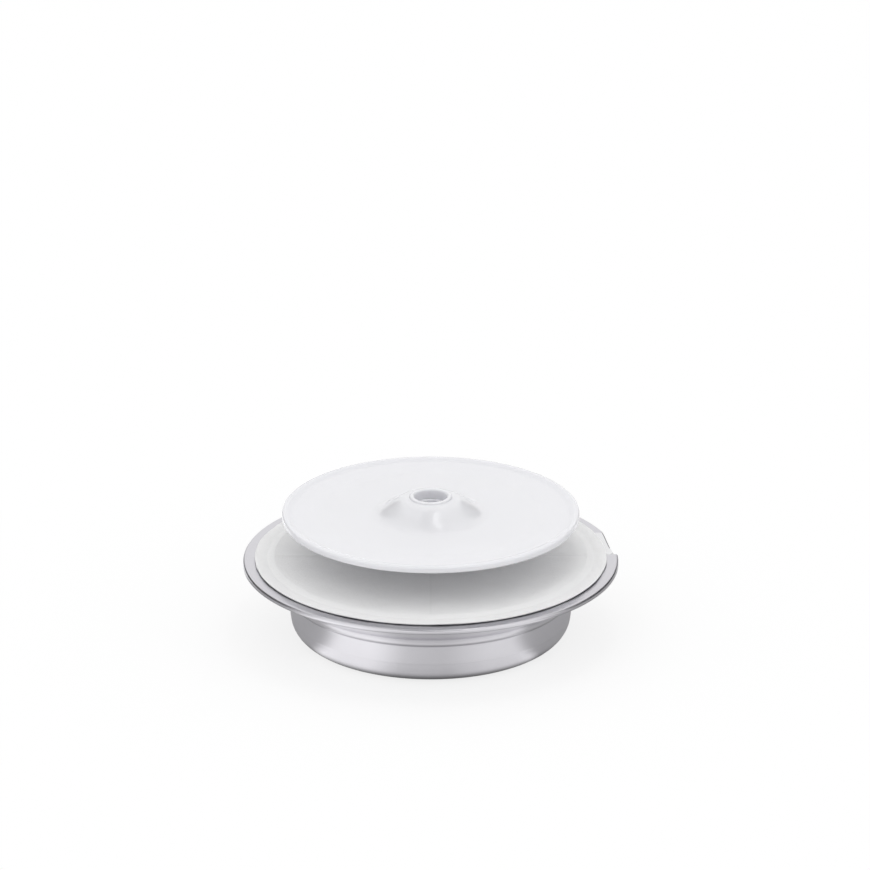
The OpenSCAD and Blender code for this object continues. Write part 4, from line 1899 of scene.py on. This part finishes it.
@dataclass
class Studio:
    """The floor, the white surroundings, the lamps, the dark flags and the camera.

    The fill is brighter from above than from the sides, as under a ceiling of soft light. The
    camera sees a white floor that keeps shadow_near of its shadows beside the bowl, and less of
    them over shadow_reach. Reflections see a painted reflection on it, at the levels of
    floor_mirror by direction in degrees, and a painted shadow at contact_level of them under the
    bowl's foot.
    """

    distance: float = 10.0
    elevation: float = 21.7
    frame_width: float = 0.6464
    target: Point = (0.0032, 0.0, 0.1588)
    floor_size: float = 30.0
    floor_drop: float = 0.0001
    floor_colour: Colour = (0.93, 0.93, 0.93)
    shadow_reach: tuple[float, float] = (0.12, 0.4)
    shadow_near: float = 0.2
    # Where the painted shadow that reflections see under the bowl's foot lies, and how dark it is
    contact_reach: tuple[float, float] = (0.096, 0.106)
    contact_level: float = 0.25
    flag_level: float = 0.012
    fill_low: float = 0.60
    fill_high: float = 1.07
    lamps: tuple[Lamp, ...] = (
        Lamp("key", (-0.9, -1.2, 1.7), (1.0, 1.0), 2.6),
        Lamp("side", (1.5, -0.6, 1.2), (0.8, 1.2), 1.6),
        Lamp("top", (0.20, -0.05, 1.6), (0.62, 0.2), 1.4, True),
    )
    flags: tuple[Flag, ...] = (
        Flag("flag_right", (1.5, -0.12, 0.0), (1.5, 4.0, 0.0), (1.5, -0.12, 1.75)),
        Flag("flag_left", (-1.5, -0.12, 0.0), (-1.5, 4.0, 0.0), (-1.5, -0.12, 1.75)),
        Flag("flag_slot", (-0.43, -2.6, 1.85), (0.43, -2.6, 1.85), (-0.43, 0.42, 1.85)),
    )
    # Levels of the painted reflection on the floor, by direction in degrees
    floor_mirror: tuple[tuple[float, float], ...] = (
        (-180.0, 0.38),
        (-156.0, 0.42),
        (-147.0, 1.3),
        (-120.0, 1.17),
        (-104.0, 0.68),
        (-83.0, 0.6),
        (-64.0, 0.85),
        (-47.0, 0.93),
        (-40.0, 1.08),
        (-33.0, 0.38),
        (0.0, 0.37),
    )

    def build_camera(self) -> None:
        """Makes the camera at the long lens's distance."""
        data = bpy.data.cameras.new("camera")
        data.sensor_width = 36.0
        data.lens = data.sensor_width * self.distance / self.frame_width
        data.clip_end = 100.0
        camera = add_object("camera", data)
        tilt = math.radians(self.elevation)
        back = Vector((0.0, -math.cos(tilt), math.sin(tilt)))
        camera.location = Vector(self.target) + back * self.distance
        camera.rotation_euler = (-back).to_track_quat("-Z", "Y").to_euler()
        bpy.context.scene.camera = camera

    def build_world(self) -> None:
        """A white surround for the camera and for reflections, and an even fill for the rest."""
        world = bpy.data.worlds.new("surround")
        bpy.context.scene.world = world
        world.use_nodes = True
        graph = Graph(world.node_tree)
        _, _, up = graph.split(graph.add("ShaderNodeTexCoord", out="Generated"))
        fill = up.over(0.0, 0.9) * (self.fill_high - self.fill_low) + self.fill_low
        seen = self.seen(graph)
        level = fill * (1 - seen) + seen
        light = graph.add("ShaderNodeBackground", None, {"Color": WHITE, "Strength": level})
        graph.add("ShaderNodeOutputWorld", None, {"Surface": light})

    @staticmethod
    def seen(graph: Graph) -> Value:
        """Which rays see the surroundings as they look, in place of being lit by them.

        Args:
            graph: the tree of the world or the floor.

        Returns:
            1 for rays from the camera, from gloss and through glass, and 0 for the others.
        """
        camera = graph.add("ShaderNodeLightPath", out="Is Camera Ray")
        glossy = graph.add("ShaderNodeLightPath", out="Is Glossy Ray")
        through = graph.add("ShaderNodeLightPath", out="Is Transmission Ray")
        return camera.either(glossy).either(through)

    def build_floor(self) -> None:
        """A pale floor that keeps a soft shadow near the object and fades to white."""
        bm = bmesh.new()
        bmesh.ops.create_grid(bm, x_segments=1, y_segments=1, size=self.floor_size / 2)
        material, graph = new_material("floor")
        x, y, _ = graph.split(graph.place())
        reach = graph.from_axis(x, y)
        # Painted reflection: glossy rays see the floor at a level that changes with direction round
        # the bowl, with darker and brighter stretches
        turn = graph.add("ShaderNodeMath", {"operation": "ARCTAN2"}, {0: abs(y) * -1.0, 1: x})
        stops = [((angle + 180) / 180, (level, level, level)) for angle, level in self.floor_mirror]
        boards = graph.add("ShaderNodeValToRGB", {"stops": stops}, {0: turn / math.pi + 1.0})
        glossy = graph.add("ShaderNodeLightPath", out="Is Glossy Ray")
        # Painted shadow: glossy rays see the floor darker just under the bowl's foot
        painted_contact_shadow = reach.over(*self.contact_reach) * (1 - self.contact_level) + self.contact_level
        level = glossy * (boards * painted_contact_shadow - 1.0) + 1.0
        pale = graph.add("ShaderNodeBsdfDiffuse", None, {"Color": self.floor_colour})
        white = graph.add("ShaderNodeEmission", None, {"Color": WHITE, "Strength": level})
        whole = reach.over(*self.shadow_reach) * self.shadow_near + (1 - self.shadow_near)
        sockets = {0: self.seen(graph) * whole, 1: pale, 2: white}
        surface = graph.add("ShaderNodeMixShader", None, sockets)
        graph.add("ShaderNodeOutputMaterial", None, {"Surface": surface})
        floor = mesh_object("floor", bm, [material])
        floor.location.z = -self.floor_drop

    def build_lamps(self) -> None:
        """Hangs the soft boxes."""
        for lamp in self.lamps:
            data = bpy.data.lights.new(lamp.name, "AREA")
            data.shape = "RECTANGLE"
            data.size, data.size_y = lamp.size
            data.energy = lamp.power
            holder = add_object(lamp.name, data)
            holder.location = lamp.place
            holder.visible_glossy = lamp.mirrored
            look = Vector(lamp.aim) - Vector(lamp.place)
            holder.rotation_euler = look.to_track_quat("-Z", "Y").to_euler()

    def build_flags(self) -> None:
        """Stands the dark boards where the polished steel mirrors them."""
        material, graph = new_material("flag")
        dark = graph.add("ShaderNodeEmission", None, {"Color": WHITE, "Strength": self.flag_level})
        graph.add("ShaderNodeOutputMaterial", None, {"Surface": dark})
        for flag in self.flags:
            corner, first, second = map(Vector, (flag.corner, flag.first, flag.second))
            bm = bmesh.new()
            spots = (corner, first, first + second - corner, second)
            bm.faces.new([bm.verts.new(spot) for spot in spots])
            board = mesh_object(flag.name, bm, [material])
            board.visible_camera = board.visible_diffuse = board.visible_shadow = False
            board.visible_transmission = board.visible_volume_scatter = False

    def build(self) -> None:
        """Makes the whole studio."""
        bpy.context.scene.view_settings.view_transform = "Standard"
        self.build_camera()
        self.build_world()
        self.build_floor()
        self.build_lamps()
        self.build_flags()


def main() -> None:
    """Builds the studio and every part around the frame."""
    logging.basicConfig(level=logging.INFO, format="%(name)s: %(message)s")
    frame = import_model()
    Studio().build()
    dress_nodes(frame["nodes"])
    for part in (Bowl(), PumpCover(), FilterDisc(), SpreaderPlate(), RiserTube(), Pump()):
        for piece in part.build():
            faces = len(piece.data.polygons)
            LOG.info("%s rides on %s: %d faces", piece.name, part.body.value, faces)


if __name__ == "__main__":
    main()
